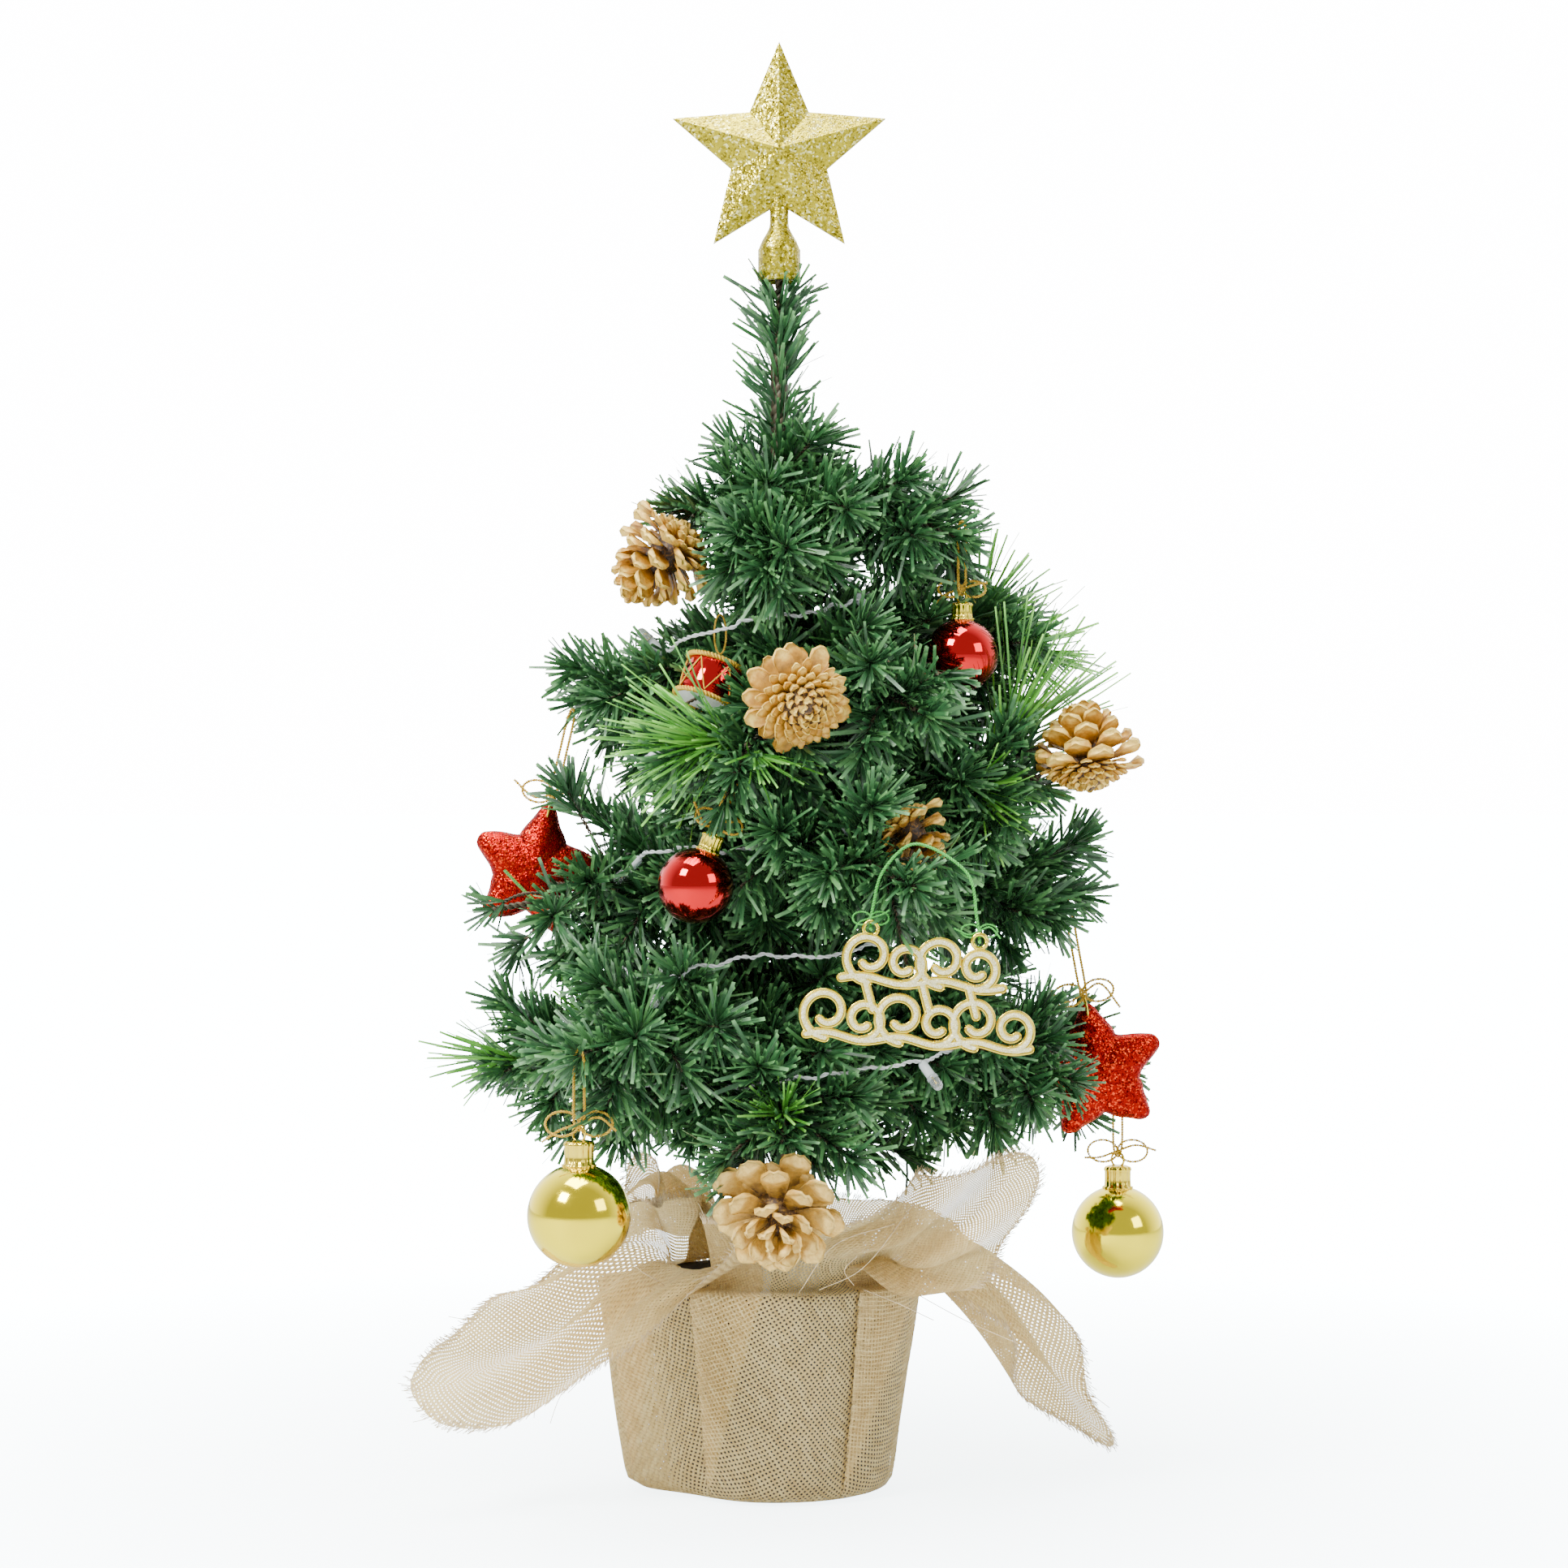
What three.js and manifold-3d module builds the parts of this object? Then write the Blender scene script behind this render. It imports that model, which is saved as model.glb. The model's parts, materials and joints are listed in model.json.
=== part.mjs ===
// Artificial tabletop Christmas tree in a burlap-wrapped pot, in millimetres, +Z up.
// The origin is on the floor under the trunk; -Y is the front of the tree and +X its right side.
// Every branch is a soft-wire stem with its needles as one plain body, and each grows from the trunk.
import * as THREE from 'three';
import { mergeVertices } from 'three/addons/utils/BufferGeometryUtils.js';
import Module from 'manifold-3d';

const wasm = await Module();
wasm.setup();

// ---- driving dimensions ----
const GAP = 0.35;

const POT = { baseR: 45, rimR: 57, height: 84, wall: 2, floor: 3, bottom: 2.2 };
const CLOTH = 1.6;
const HEM = 76;
const BALLAST_TOP = 45;
const TRUNK = { r: 4, bottom: 8, top: 468 };
const COLLAR = { r: 44, flare: 4, top: 120 };

const STEM_R = 1.4;
const STEM_START = 5.6;

const TOPPER = { socketZ: 500, centreZ: 553.5, tipR: 46.5, notchR: 21, half: 13, wall: 1.4 };
const LEADER = { foliageBottom: 424, foliageTop: 496, r: 15, wireR: 2.2, wireTop: 524 };

const CORD_R = 1.3;
const CORD_CLEAR_R = 2.3;
const LED_COUNT = 20;
const LED = { r: 2.6, length: 15, clear: 0.8 };

// the battery case, its lid and where the case's front and bottom are
const BOX = { x: 34, y: 19, z: 62, wall: 1.6, front: 18.5, bottom: 45.6 };
const LID = { x: 29, z: 54, thick: 1.6 };

// root height, azimuth (0 is right, -90 is front), pitch, length and needle radius of each branch
const BRANCHES = {
  a_right: { z: 412, az: -15, pitch: -8, len: 88, r: 14 },
  a_left: { z: 402, az: 186, pitch: 8, len: 58, r: 12 },
  a_front: { z: 402, az: -95, pitch: -20, len: 70, r: 14 },
  a_back: { z: 402, az: 78, pitch: 2, len: 70, r: 14 },
  b_right: { z: 350, az: 10, pitch: 7, len: 116, r: 14 },
  b_left: { z: 346, az: 178, pitch: -14, len: 96, r: 13 },
  b_front_left: { z: 340, az: -101, pitch: -27, len: 106, r: 13 },
  b_front_right: { z: 348, az: -50, pitch: -16, len: 98, r: 13 },
  b_back: { z: 345, az: 96, pitch: -4, len: 104, r: 15 },
  c_right: { z: 286, az: -8, pitch: 6, len: 118, r: 14 },
  c_right_back: { z: 262, az: 13, pitch: -8, len: 142, r: 13 },
  c_left: { z: 256, az: -170, pitch: -6, len: 126, r: 13 },
  c_front: { z: 276, az: -64, pitch: -10, len: 126, r: 14 },
  c_back: { z: 268, az: 108, pitch: -3, len: 122, r: 16 },
  d_left: { z: 192, az: 184, pitch: -8, len: 130, r: 14 },
  d_front_left: { z: 198, az: -126, pitch: -3, len: 136, r: 14 },
  d_front: { z: 186, az: -89, pitch: -18, len: 112, r: 14 },
  d_right: { z: 194, az: -12, pitch: -9, len: 138, r: 14 },
  d_right_back: { z: 206, az: 24, pitch: -12, len: 172, r: 13 },
  d_back: { z: 196, az: 112, pitch: -2, len: 130, r: 16 },
};

// centre, diameter, height and the direction of the stalk end of each pine cone
const CONES = {
  pine_cone_upper_left: { at: [-50, -12, 382], d: 42, h: 46, stalk: [0.75, 0.1, 0.62] },
  pine_cone_centre: { at: [6, -86, 326], d: 44, h: 40, stalk: [0.3, -0.85, -0.42] },
  pine_cone_right: { at: [126, -20, 305], d: 44, h: 42, stalk: [0.08, -0.2, -1] },
  pine_cone_small: { at: [55, -64, 269], d: 30, h: 32, stalk: [-0.6, 0.2, 0.7] },
  pine_cone_front: { at: [0, -92, 122], d: 48, h: 40, stalk: [0.05, 0.85, 0.5] },
};

// radius, the branch it hangs on and how far along it, its lean to the right, and how far below its centre is
const BAUBLES = {
  red_bauble_right: { r: 15, on: 'a_right', along: 78.4, lean: 0, below: 57 },
  red_bauble_left: { r: 15, on: 'b_front_left', along: 87, lean: 20, below: 52.8 },
  gold_bauble_left: { r: 20, on: 'd_front_left', along: 131, lean: 0, below: 66 },
  gold_bauble_right: { r: 20, on: 'd_right_back', along: 165, lean: 0, below: 75.6 },
};

const RED_STARS = {
  red_star_right: { r: 28, on: 'c_right_back', along: 125.7, lean: -11.6, below: 78 },
  red_star_left: { r: 27, on: 'b_left', along: 88, lean: 14.8, below: 73 },
};
// how far a thread's top is above the branch's axis, and the slot in the needles that it hangs in
const HOOK = { drop: 2.4, slotR: 5.2, slotLength: 17 };

const DRUM = { at: [-28, -27, 332], r: 12, h: 17, tiltX: 14, tiltY: 20 };
const PLAQUE = { at: [55, -107, 215], thick: 2, stroke: 3.8, tilt: 4, threadTop: 268, threadY: -108 };

// ---- materials ----
const paint = (color, roughness, metalness = 0) => (
  new THREE.MeshStandardMaterial({ color, roughness, metalness })
);
const burlap = paint(0xb89c74, 0.95);
const darkPlastic = paint(0x1d2a22, 0.6);
const cement = paint(0x8f8f8a, 0.95);
const needles = paint(0x1f5a34, 0.7);
const wire = paint(0x2f4a35, 0.5, 0.3);
const goldGlitter = paint(0xd9bf5e, 0.45, 0.6);
const redFoil = paint(0xc01018, 0.12, 0.9);
const goldFoil = paint(0xe2c414, 0.1, 0.95);
const redGlitter = paint(0xc4181a, 0.5, 0.4);
const goldThread = paint(0xd8b53c, 0.4, 0.6);
const greenThread = paint(0x49c236, 0.6);
const coneGold = paint(0xc79a55, 0.6, 0.2);
const clearVinyl = paint(0xdfe8e6, 0.2);
const whitePlastic = paint(0xe8e8e4, 0.5);

const tree = new THREE.Group();

// ---- solids ----
function toSolid(geometry) {
  const bare = geometry.index ? geometry.toNonIndexed() : geometry.clone();
  for (const name of Object.keys(bare.attributes)) if (name !== 'position') bare.deleteAttribute(name);
  const merged = mergeVertices(bare, 1e-4);
  return new wasm.Manifold(new wasm.Mesh({
    numProp: 3,
    vertProperties: merged.attributes.position.array,
    triVerts: new Uint32Array(merged.index.array),
  }));
}

function toGeometry(solid) {
  const { vertProperties, triVerts } = solid.getMesh();
  return new THREE.BufferGeometry()
    .setAttribute('position', new THREE.BufferAttribute(vertProperties, 3))
    .setIndex(new THREE.BufferAttribute(triVerts, 1));
}

function add(name, solid, material) {
  const mesh = new THREE.Mesh(toGeometry(solid), material);
  mesh.name = name;
  tree.add(mesh);
  return mesh;
}

const moved = (geometry, matrix) => toSolid(geometry.clone().applyMatrix4(matrix));
const shift = (x, y, z) => new THREE.Matrix4().makeTranslation(x, y, z);
const vec = (a) => new THREE.Vector3(...a);
const rad = THREE.MathUtils.degToRad;

// A lathe about +Z from [radius, height] pairs that start and end on the axis or close on themselves.
function lathe(profile, segments) {
  const geometry = new THREE.LatheGeometry(profile.map(([r, z]) => new THREE.Vector2(r, z)), segments);
  return geometry.rotateX(Math.PI / 2);
}

function latheSolid(profile, segments) {
  const solid = toSolid(lathe(profile, segments));
  return solid.volume() < 0 ? toSolid(lathe([...profile].reverse(), segments)) : solid;
}

const cylinder = (r, z0, z1, segments = 16) => latheSolid([[0, z0], [r, z0], [r, z1], [0, z1]], segments);

// Turns +Z to a direction and moves the origin to a point.
function aim(at, direction) {
  const up = new THREE.Vector3(0, 0, 1);
  const turn = new THREE.Quaternion().setFromUnitVectors(up, vec(direction).normalize());
  return new THREE.Matrix4().compose(vec(at), turn, new THREE.Vector3(1, 1, 1));
}

const place = (solid, matrix) => solid.transform([...matrix.elements]);

// A tube of a regular section along a curve, with closed ends.
function tube(curve, radius, sides, steps) {
  const section = new THREE.Shape();
  for (let i = 0; i < sides; i++) {
    const a = (2 * Math.PI * i) / sides;
    if (i) section.lineTo(radius * Math.cos(a), radius * Math.sin(a));
    else section.moveTo(radius, 0);
  }
  return toSolid(new THREE.ExtrudeGeometry(section, { steps, bevelEnabled: false, extrudePath: curve }));
}

// A sheet of even thickness between two edges that have the same number of points.
function sheet(edgeA, edgeB, thick) {
  const a = edgeA.map(vec);
  const b = edgeB.map(vec);
  const last = a.length - 1;
  const points = [];
  for (let i = 0; i <= last; i++) {
    const along = a[Math.min(i + 1, last)].clone().sub(a[Math.max(i - 1, 0)]);
    const across = b[i].clone().sub(a[i]);
    const offset = along.cross(across).normalize().multiplyScalar(thick / 2);
    for (const edge of [a[i], b[i]]) points.push(edge.clone().add(offset), edge.clone().sub(offset));
  }
  const faces = [];
  const quad = (p, q, r, s) => faces.push(p, q, r, p, r, s);
  for (let i = 0; i < last; i++) {
    const k = 4 * i;
    quad(k, k + 4, k + 6, k + 2);
    quad(k + 1, k + 3, k + 7, k + 5);
    quad(k, k + 1, k + 5, k + 4);
    quad(k + 2, k + 6, k + 7, k + 3);
  }
  quad(0, 2, 3, 1);
  const end = 4 * last;
  quad(end, end + 1, end + 3, end + 2);
  const geometry = new THREE.BufferGeometry()
    .setAttribute('position', new THREE.Float32BufferAttribute(points.flatMap((p) => p.toArray()), 3))
    .setIndex(faces);
  const solid = toSolid(geometry);
  if (solid.volume() > 0) return solid;
  return toSolid(geometry.setIndex([...faces].reverse()));
}

// ---- pot, ballast and burlap ----
function makePot() {
  const { baseR, rimR, height, wall, floor, bottom } = POT;
  const top = bottom + height;
  add('pot', latheSolid([
    [0, bottom], [baseR, bottom], [rimR, top], [rimR - wall, top],
    [baseR - wall, bottom + floor], [0, bottom + floor],
  ], 32), darkPlastic);
}

const wallR = (z) => POT.baseR + ((POT.rimR - POT.baseR) * (z - POT.bottom)) / POT.height;

const potInnerR = (z) => POT.baseR - POT.wall
  + ((POT.rimR - POT.baseR) * (z - POT.bottom - POT.floor)) / (POT.height - POT.floor);

function makeBallast() {
  const z0 = POT.bottom + POT.floor + GAP;
  const body = latheSolid([
    [0, z0], [potInnerR(z0) - 2 * GAP, z0], [potInnerR(BALLAST_TOP) - 2 * GAP, BALLAST_TOP], [0, BALLAST_TOP],
  ], 24);
  add('ballast', body.subtract(cylinder(TRUNK.r + GAP, TRUNK.bottom, BALLAST_TOP + 1)), cement);
}

// The cloth goes under the pot and up its outside to a little below the rim.
function makeWrap() {
  const { baseR } = POT;
  const inner = 2 * GAP;
  const outer = CLOTH + inner;
  add('burlap_wrap', latheSolid([
    [0, 0], [baseR - 3, 0], [baseR + outer - 1, 4], [wallR(HEM) + outer, HEM], [wallR(HEM) + inner, HEM],
    [baseR + inner, CLOTH], [0, CLOTH],
  ], 32), burlap);
}

// From there it goes on over the rim, inward and up again as a gathered collar.
function collarShell() {
  const { rimR, height, bottom } = POT;
  const inner = 2 * GAP;
  const outer = CLOTH + inner;
  const low = HEM + GAP;
  const rim = bottom + height + GAP;
  const { r, flare, top } = COLLAR;
  return latheSolid([
    [wallR(low) + inner, low], [wallR(low) + outer, low], [rimR + outer, rim + CLOTH],
    [r + CLOTH, rim + CLOTH], [r + flare + CLOTH, top], [r + flare, top], [r, rim], [rimR + inner, rim],
    [wallR(low) + inner, low],
  ], 32);
}

const rimPoint = (az) => {
  const r = POT.rimR + 2 * GAP + CLOTH / 2;
  return [r * Math.cos(rad(az)), r * Math.sin(rad(az)), POT.bottom + POT.height + GAP + CLOTH / 2];
};

// The four corners of the cloth, each between its upper and its lower edge.
const CORNERS = {
  front_left: [
    [rimPoint(188), [-84, -40, 92], [-112, -58, 80], [-140, -72, 66], [-150, -76, 58]],
    [rimPoint(238), [-62, -66, 72], [-86, -74, 54], [-118, -78, 46], [-147, -79, 51]],
  ],
  front_right: [
    [rimPoint(285), [40, -66, 106], [60, -64, 124], [80, -60, 135], [97, -54, 139]],
    [rimPoint(332), [66, -44, 92], [80, -52, 98], [91, -55, 106], [99, -55, 117]],
  ],
  back_right: [
    [rimPoint(5), [82, 14, 84], [104, 28, 60], [126, 42, 30], [146, 50, 6]],
    [rimPoint(55), [60, 54, 76], [84, 60, 46], [108, 62, 20], [138, 60, 6]],
  ],
  back_left: [
    [rimPoint(168), [-64, 26, 104], [-72, 34, 113], [-80, 40, 104], [-84, 44, 90]],
    [rimPoint(115), [-38, 62, 110], [-54, 64, 123], [-70, 60, 112], [-80, 54, 92]],
  ],
};

function makeCollar() {
  const { baseR, rimR, height, bottom } = POT;
  const rim = bottom + height + GAP;
  const room = latheSolid([[0, 0], [baseR + 2 * GAP, CLOTH], [rimR + 2 * GAP, rim], [0, rim]], 32);
  const below = cylinder(POT.rimR + 8, 0, HEM + GAP, 24);
  let cloth = collarShell();
  for (const [upper, lower] of Object.values(CORNERS)) {
    cloth = cloth.add(sheet(upper, lower, CLOTH).subtract(room).subtract(below));
  }
  add('burlap_collar', cloth, burlap);
}

// ---- trunk, leader and branches ----
function branchFrame({ z, az, pitch }) {
  const level = Math.cos(rad(pitch));
  const direction = [Math.cos(rad(az)) * level, Math.sin(rad(az)) * level, Math.sin(rad(pitch))];
  return aim([0, 0, z], direction);
}

function branchSolid(spec) {
  const { len, r } = spec;
  const stem = cylinder(STEM_R, STEM_START, len - 4, 6);
  const foliage = latheSolid([
    [0, 17], [0.4 * r, 18], [0.85 * r, 0.35 * len], [r, 0.6 * len],
    [0.9 * r, 0.82 * len], [0.5 * r, len], [0, len + 3],
  ], 10);
  return place(stem.add(foliage), branchFrame(spec));
}

function makeTrunk() {
  add('trunk_pole', cylinder(TRUNK.r, TRUNK.bottom + GAP, TRUNK.top, 12), wire);
  const { foliageBottom, foliageTop, r, wireR, wireTop } = LEADER;
  const foliage = latheSolid([
    [0, TRUNK.top + GAP], [TRUNK.r + GAP, TRUNK.top + GAP], [TRUNK.r + GAP, foliageBottom],
    [0.7 * r, foliageBottom], [r, 452], [0.8 * r, 478], [0.75 * r, foliageTop], [0, foliageTop],
  ], 12);
  add('leader', foliage.add(cylinder(wireR, foliageTop - 5, wireTop, 8)), needles);
}

// ---- light string: a lead up from the battery case, then turns that climb the tree ----
const LEAD = [[-10, 28, 108.4], [-10, 29, 118], [-16, 36, 132], [-34, 58, 146]];
const TURNS = { count: 5, perTurn: 12, start: 124, r0: 96, r1: 40, z0: 158, z1: 388 };

function cordPoints() {
  const points = LEAD.map(vec);
  const steps = TURNS.count * TURNS.perTurn;
  for (let i = 0; i <= steps; i++) {
    const t = i / steps;
    const a = rad(TURNS.start + 360 * TURNS.count * t);
    const r = THREE.MathUtils.lerp(TURNS.r0, TURNS.r1, t);
    const z = THREE.MathUtils.lerp(TURNS.z0, TURNS.z1, t);
    points.push(new THREE.Vector3(r * Math.cos(a), r * Math.sin(a), z));
  }
  return points;
}

const cordCurve = new THREE.CatmullRomCurve3(cordPoints());

function ledFrames() {
  const frames = [];
  for (let i = 0; i < LED_COUNT; i++) {
    const at = cordCurve.getPointAt(0.09 + (0.9 * i) / (LED_COUNT - 1));
    const side = i % 2 ? 1 : -1;
    const outward = [at.x, at.y, side * 0.9 * Math.hypot(at.x, at.y)];
    frames.push(aim(at.toArray(), outward));
  }
  return frames;
}

const ledSolid = (extra) => latheSolid([
  [0, -1.4 - extra], [LED.r + extra, -1.4 - extra], [LED.r + extra, LED.length - 2 + extra],
  [0.5 * LED.r + extra, LED.length + extra],
  [0, LED.length + extra],
], 6);

function stringSolid(radius, sides, extra) {
  let solid = tube(cordCurve, radius, sides, 104);
  for (const frame of ledFrames()) solid = solid.add(place(ledSolid(extra), frame));
  return solid;
}

// ---- battery case behind the trunk ----
function block(x0, x1, y0, y1, z0, z1) {
  const centre = shift((x0 + x1) / 2, (y0 + y1) / 2, (z0 + z1) / 2);
  return moved(new THREE.BoxGeometry(x1 - x0, y1 - y0, z1 - z0), centre);
}

function makeBatteryCase() {
  const { x, y, z, wall, front, bottom } = BOX;
  const back = front + y;
  const top = bottom + z;
  const cavity = block(-x / 2 + wall, x / 2 - wall, front + wall, back + 1, bottom + 3, top - 6);
  add('battery_case', block(-x / 2, x / 2, front, back, bottom, top).subtract(cavity), whitePlastic);
  const lidZ = bottom + 2;
  const lidY = back + GAP;
  const half = LID.x / 2 + 1.5;
  add('battery_lid', block(-half, half, lidY, lidY + LID.thick, lidZ, lidZ + LID.z), whitePlastic);
  add('battery_switch', block(1, 8, front + 6, front + 11, top + GAP, top + 3), darkPlastic);
}

// ---- tree topper ----
function starOutline(tipR, notchR, turn = 0, points = 5) {
  const outline = [];
  for (let i = 0; i < 2 * points; i++) {
    const a = Math.PI / 2 + rad(turn) + (Math.PI * i) / points;
    const r = i % 2 ? notchR : tipR;
    outline.push([r * Math.cos(a), r * Math.sin(a)]);
  }
  return outline;
}

// A star that rises from its outline to a ridge point, front and back, with an edge of even thickness.
function starSolid(outline, front, back, edge) {
  const n = outline.length;
  const points = [[0, -front, 0], [0, back, 0]];
  for (const [x, z] of outline) points.push([x, -edge / 2, z], [x, edge / 2, z]);
  const faces = [];
  for (let i = 0; i < n; i++) {
    const a = 2 + 2 * i;
    const b = 2 + 2 * ((i + 1) % n);
    faces.push(0, a, b, 1, b + 1, a + 1, a, a + 1, b + 1, a, b + 1, b);
  }
  const geometry = new THREE.BufferGeometry()
    .setAttribute('position', new THREE.Float32BufferAttribute(points.flat(), 3));
  const solid = toSolid(geometry.setIndex(faces));
  return solid.volume() > 0 ? solid : toSolid(geometry.setIndex([...faces].reverse()));
}

function makeTopper() {
  const { socketZ, centreZ, tipR, notchR, half, wall } = TOPPER;
  const outer = starSolid(starOutline(tipR, notchR), half, half, 2.4);
  const inner = starSolid(starOutline(tipR - 3.4 * wall, notchR - 1.6 * wall), half - wall, half - wall, 0.4);
  const neckR = 3.9;
  const neckHole = cylinder(neckR + GAP, -60, -6);
  const shell = outer.subtract(inner).subtract(neckHole).translate([0, 0, centreZ]);
  const depth = half + 2;
  add('topper_star_front', shell.intersect(block(-60, 60, -depth, -GAP / 2, 480, 620)), goldGlitter);
  add('topper_star_back', shell.intersect(block(-60, 60, GAP / 2, depth, 480, 620)), goldGlitter);
  add('topper_socket', latheSolid([
    [6.4, socketZ], [8.4, socketZ], [8.4, socketZ + 14.5], [neckR, socketZ + 23],
    [neckR, centreZ - 7], [0, centreZ - 7],
    [0, socketZ + 30], [2.8, socketZ + 30], [2.8, socketZ + 20], [6.4, socketZ + 13], [6.4, socketZ],
  ], 20), goldGlitter);
}

// ---- hanging ornaments ----
// A loop of thread or wire, as a flattened ring in the plane turned by `turn` about +Z.
function loop(halfWidth, halfHeight, thick, turn, segments = 18) {
  const ring = new THREE.TorusGeometry(1, 1, 6, segments);
  const at = ring.attributes.position;
  for (let i = 0; i < at.count; i++) {
    const tubeA = (2 * Math.PI * Math.floor(i / (segments + 1))) / 6;
    const ringA = (2 * Math.PI * (i % (segments + 1))) / segments;
    const grow = thick * Math.cos(tubeA);
    const [x, z] = [(halfWidth + grow) * Math.cos(ringA), (halfHeight + grow) * Math.sin(ringA)];
    at.setXYZ(i, x, thick * Math.sin(tubeA), z);
  }
  const solid = toSolid(ring.rotateZ(rad(turn)));
  return solid.volume() > 0 ? solid : toSolid(flipped(ring));
}

function flipped(geometry) {
  return geometry.clone().setIndex([...geometry.index.array].reverse());
}

const RING_TURN = -40;
const THREAD_TURN = 50;
const THREAD_R = 0.45;

function baubleParts({ r, below }) {
  const thread = below - HOOK.drop;
  const k = r / 20;
  const ball = toSolid(new THREE.SphereGeometry(r, 16, 10).rotateX(Math.PI / 2));
  const hollow = toSolid(new THREE.SphereGeometry(r - 1.2, 10, 6).rotateX(Math.PI / 2));
  const shell = ball.subtract(hollow).subtract(cylinder(2.8 * k, 0.5 * r, r + 4, 8));
  const capBottom = r - 0.2 * k;
  const capR = 5.8 * k;
  const capTop = capBottom + 9.5 * k;
  const skirt = latheSolid([
    [0, capTop], [capR * 0.96, capTop], [capR, capBottom + 0.6],
    [capR - 1, capBottom + 0.6], [capR - 1.2, capTop - 1.2],
    [0, capTop - 1.2],
  ], 14);
  const ringH = 3.4 * k;
  const ring = loop(3.2 * k, ringH, 0.6, RING_TURN, 14).translate([0, 0, capTop + ringH - 0.2]);
  const threadLow = capTop + 2 * ringH - 2.3;
  const half = (thread - threadLow) / 2;
  return {
    ball: shell,
    cap: skirt.add(ring),
    thread: loop(4 * k, half, THREAD_R, THREAD_TURN).translate([0, 0, threadLow + half]),
  };
}

function stemPoint({ z, az, pitch }, distance) {
  return new THREE.Vector3(0, 0, distance).applyMatrix4(branchFrame({ z, az, pitch }));
}

// The frame of a hanging thing: its origin at the thing's centre and its +Z up the thread to the branch.
function hang({ on, along, lean, below }) {
  const turn = new THREE.Quaternion().setFromAxisAngle(new THREE.Vector3(0, 1, 0), rad(lean));
  const centre = stemPoint(BRANCHES[on], along).sub(new THREE.Vector3(0, 0, below).applyQuaternion(turn));
  return new THREE.Matrix4().compose(centre, turn, new THREE.Vector3(1, 1, 1));
}

// The room the top of a thread keeps for itself among the needles.
function hookSlot(spec) {
  const top = spec.below - HOOK.drop + 0.8;
  return place(cylinder(HOOK.slotR, top - HOOK.slotLength, top, 8), hang(spec));
}

function makeBaubles() {
  for (const [name, spec] of Object.entries(BAUBLES)) {
    const foil = name.startsWith('red') ? redFoil : goldFoil;
    const parts = baubleParts(spec);
    add(name, place(parts.ball, hang(spec)), foil);
    add(`${name}_cap`, place(parts.cap, hang(spec)), goldFoil);
    add(`${name}_thread`, place(parts.thread, hang(spec)), goldThread);
  }
}

function redStarParts({ r, below }) {
  const thread = below - HOOK.drop;
  const ringR = 4.4;
  const ringZ = r - 5 + ringR;
  const body = starSolid(starOutline(r, 0.56 * r), 6.5, 6.5, 3.2);
  const hole = cylinder(1.5, -5, 5, 10).rotate([90, 0, 0]).translate([0, 0, r - 5.2]);
  const eyelet = loop(ringR, ringR, 0.5, 90, 14).translate([0, 0, ringZ]);
  const low = ringZ + ringR - 1.7;
  const half = (thread - low) / 2;
  return {
    star: body.subtract(hole),
    eyelet,
    thread: loop(3.4, half, THREAD_R, 0).translate([0, 0, low + half]),
  };
}

function makeRedStars() {
  for (const [name, spec] of Object.entries(RED_STARS)) {
    const parts = redStarParts(spec);
    add(name, place(parts.star, hang(spec)), redGlitter);
    add(`${name}_eyelet`, place(parts.eyelet, hang(spec)), goldFoil);
    add(`${name}_thread`, place(parts.thread, hang(spec)), goldThread);
  }
}

// ---- pine cones: rings of scales that widen from the stalk end and close at the tip ----
function coneSolid({ d, h, at, stalk }, extra = 0) {
  const rows = 6;
  const profile = [[0, h / 2 + extra]];
  for (let i = 0; i <= rows; i++) {
    const t = i / rows;
    const r = (d / 2) * Math.sin(Math.PI * (0.2 + 0.66 * t)) + extra;
    const z = h * (0.5 - t);
    profile.push([r, z + extra * (i ? 0 : 1)]);
    if (i < rows) profile.push([extra ? r : 0.78 * r, z - (0.6 * h) / rows]);
  }
  profile.push([0, -h / 2 - extra]);
  return place(latheSolid(profile, 12), aim(at, stalk));
}

// ---- drum ----
function drumSolid(extra = 0) {
  const { r, h, at, tiltX, tiltY } = DRUM;
  const rim = r + 0.8 + extra;
  const body = latheSolid([
    [0, -h / 2 - extra], [rim, -h / 2 - extra], [rim, -h / 2 + 2], [r + extra, -h / 2 + 2],
    [r + extra, h / 2 - 2], [rim, h / 2 - 2], [rim, h / 2 + extra], [0, h / 2 + extra],
  ], 20);
  const turn = new THREE.Quaternion().setFromEuler(new THREE.Euler(rad(tiltX), rad(tiltY), 0));
  return place(body, new THREE.Matrix4().compose(vec(at), turn, new THREE.Vector3(1, 1, 1)));
}

function makeDrum() {
  const { r, h, at } = DRUM;
  add('drum', drumSolid(), redFoil);
  const top = loop(2.6, 8, THREAD_R, 20, 14).translate([at[0] + 4, at[1] - 2, at[2] + h / 2 + 11.5]);
  add('drum_thread', top, goldThread);
}

// ---- scroll plaque: two rows of curled strokes, cut out of a plate ----
function stroke(curve, width, depth, steps) {
  const left = [];
  const right = [];
  for (let i = 0; i <= steps; i++) {
    const p = curve(i / steps);
    const q = curve(Math.min(1, i / steps + 1e-3));
    const o = curve(Math.max(0, i / steps - 1e-3));
    const tangent = new THREE.Vector2(q[0] - o[0], q[1] - o[1]).normalize();
    left.push(new THREE.Vector2(p[0] - (tangent.y * width) / 2, p[1] + (tangent.x * width) / 2));
    right.push(new THREE.Vector2(p[0] + (tangent.y * width) / 2, p[1] - (tangent.x * width) / 2));
  }
  const shape = new THREE.Shape([...left, ...right.reverse()]);
  return toSolid(new THREE.ExtrudeGeometry(shape, { depth, bevelEnabled: false }));
}

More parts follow.
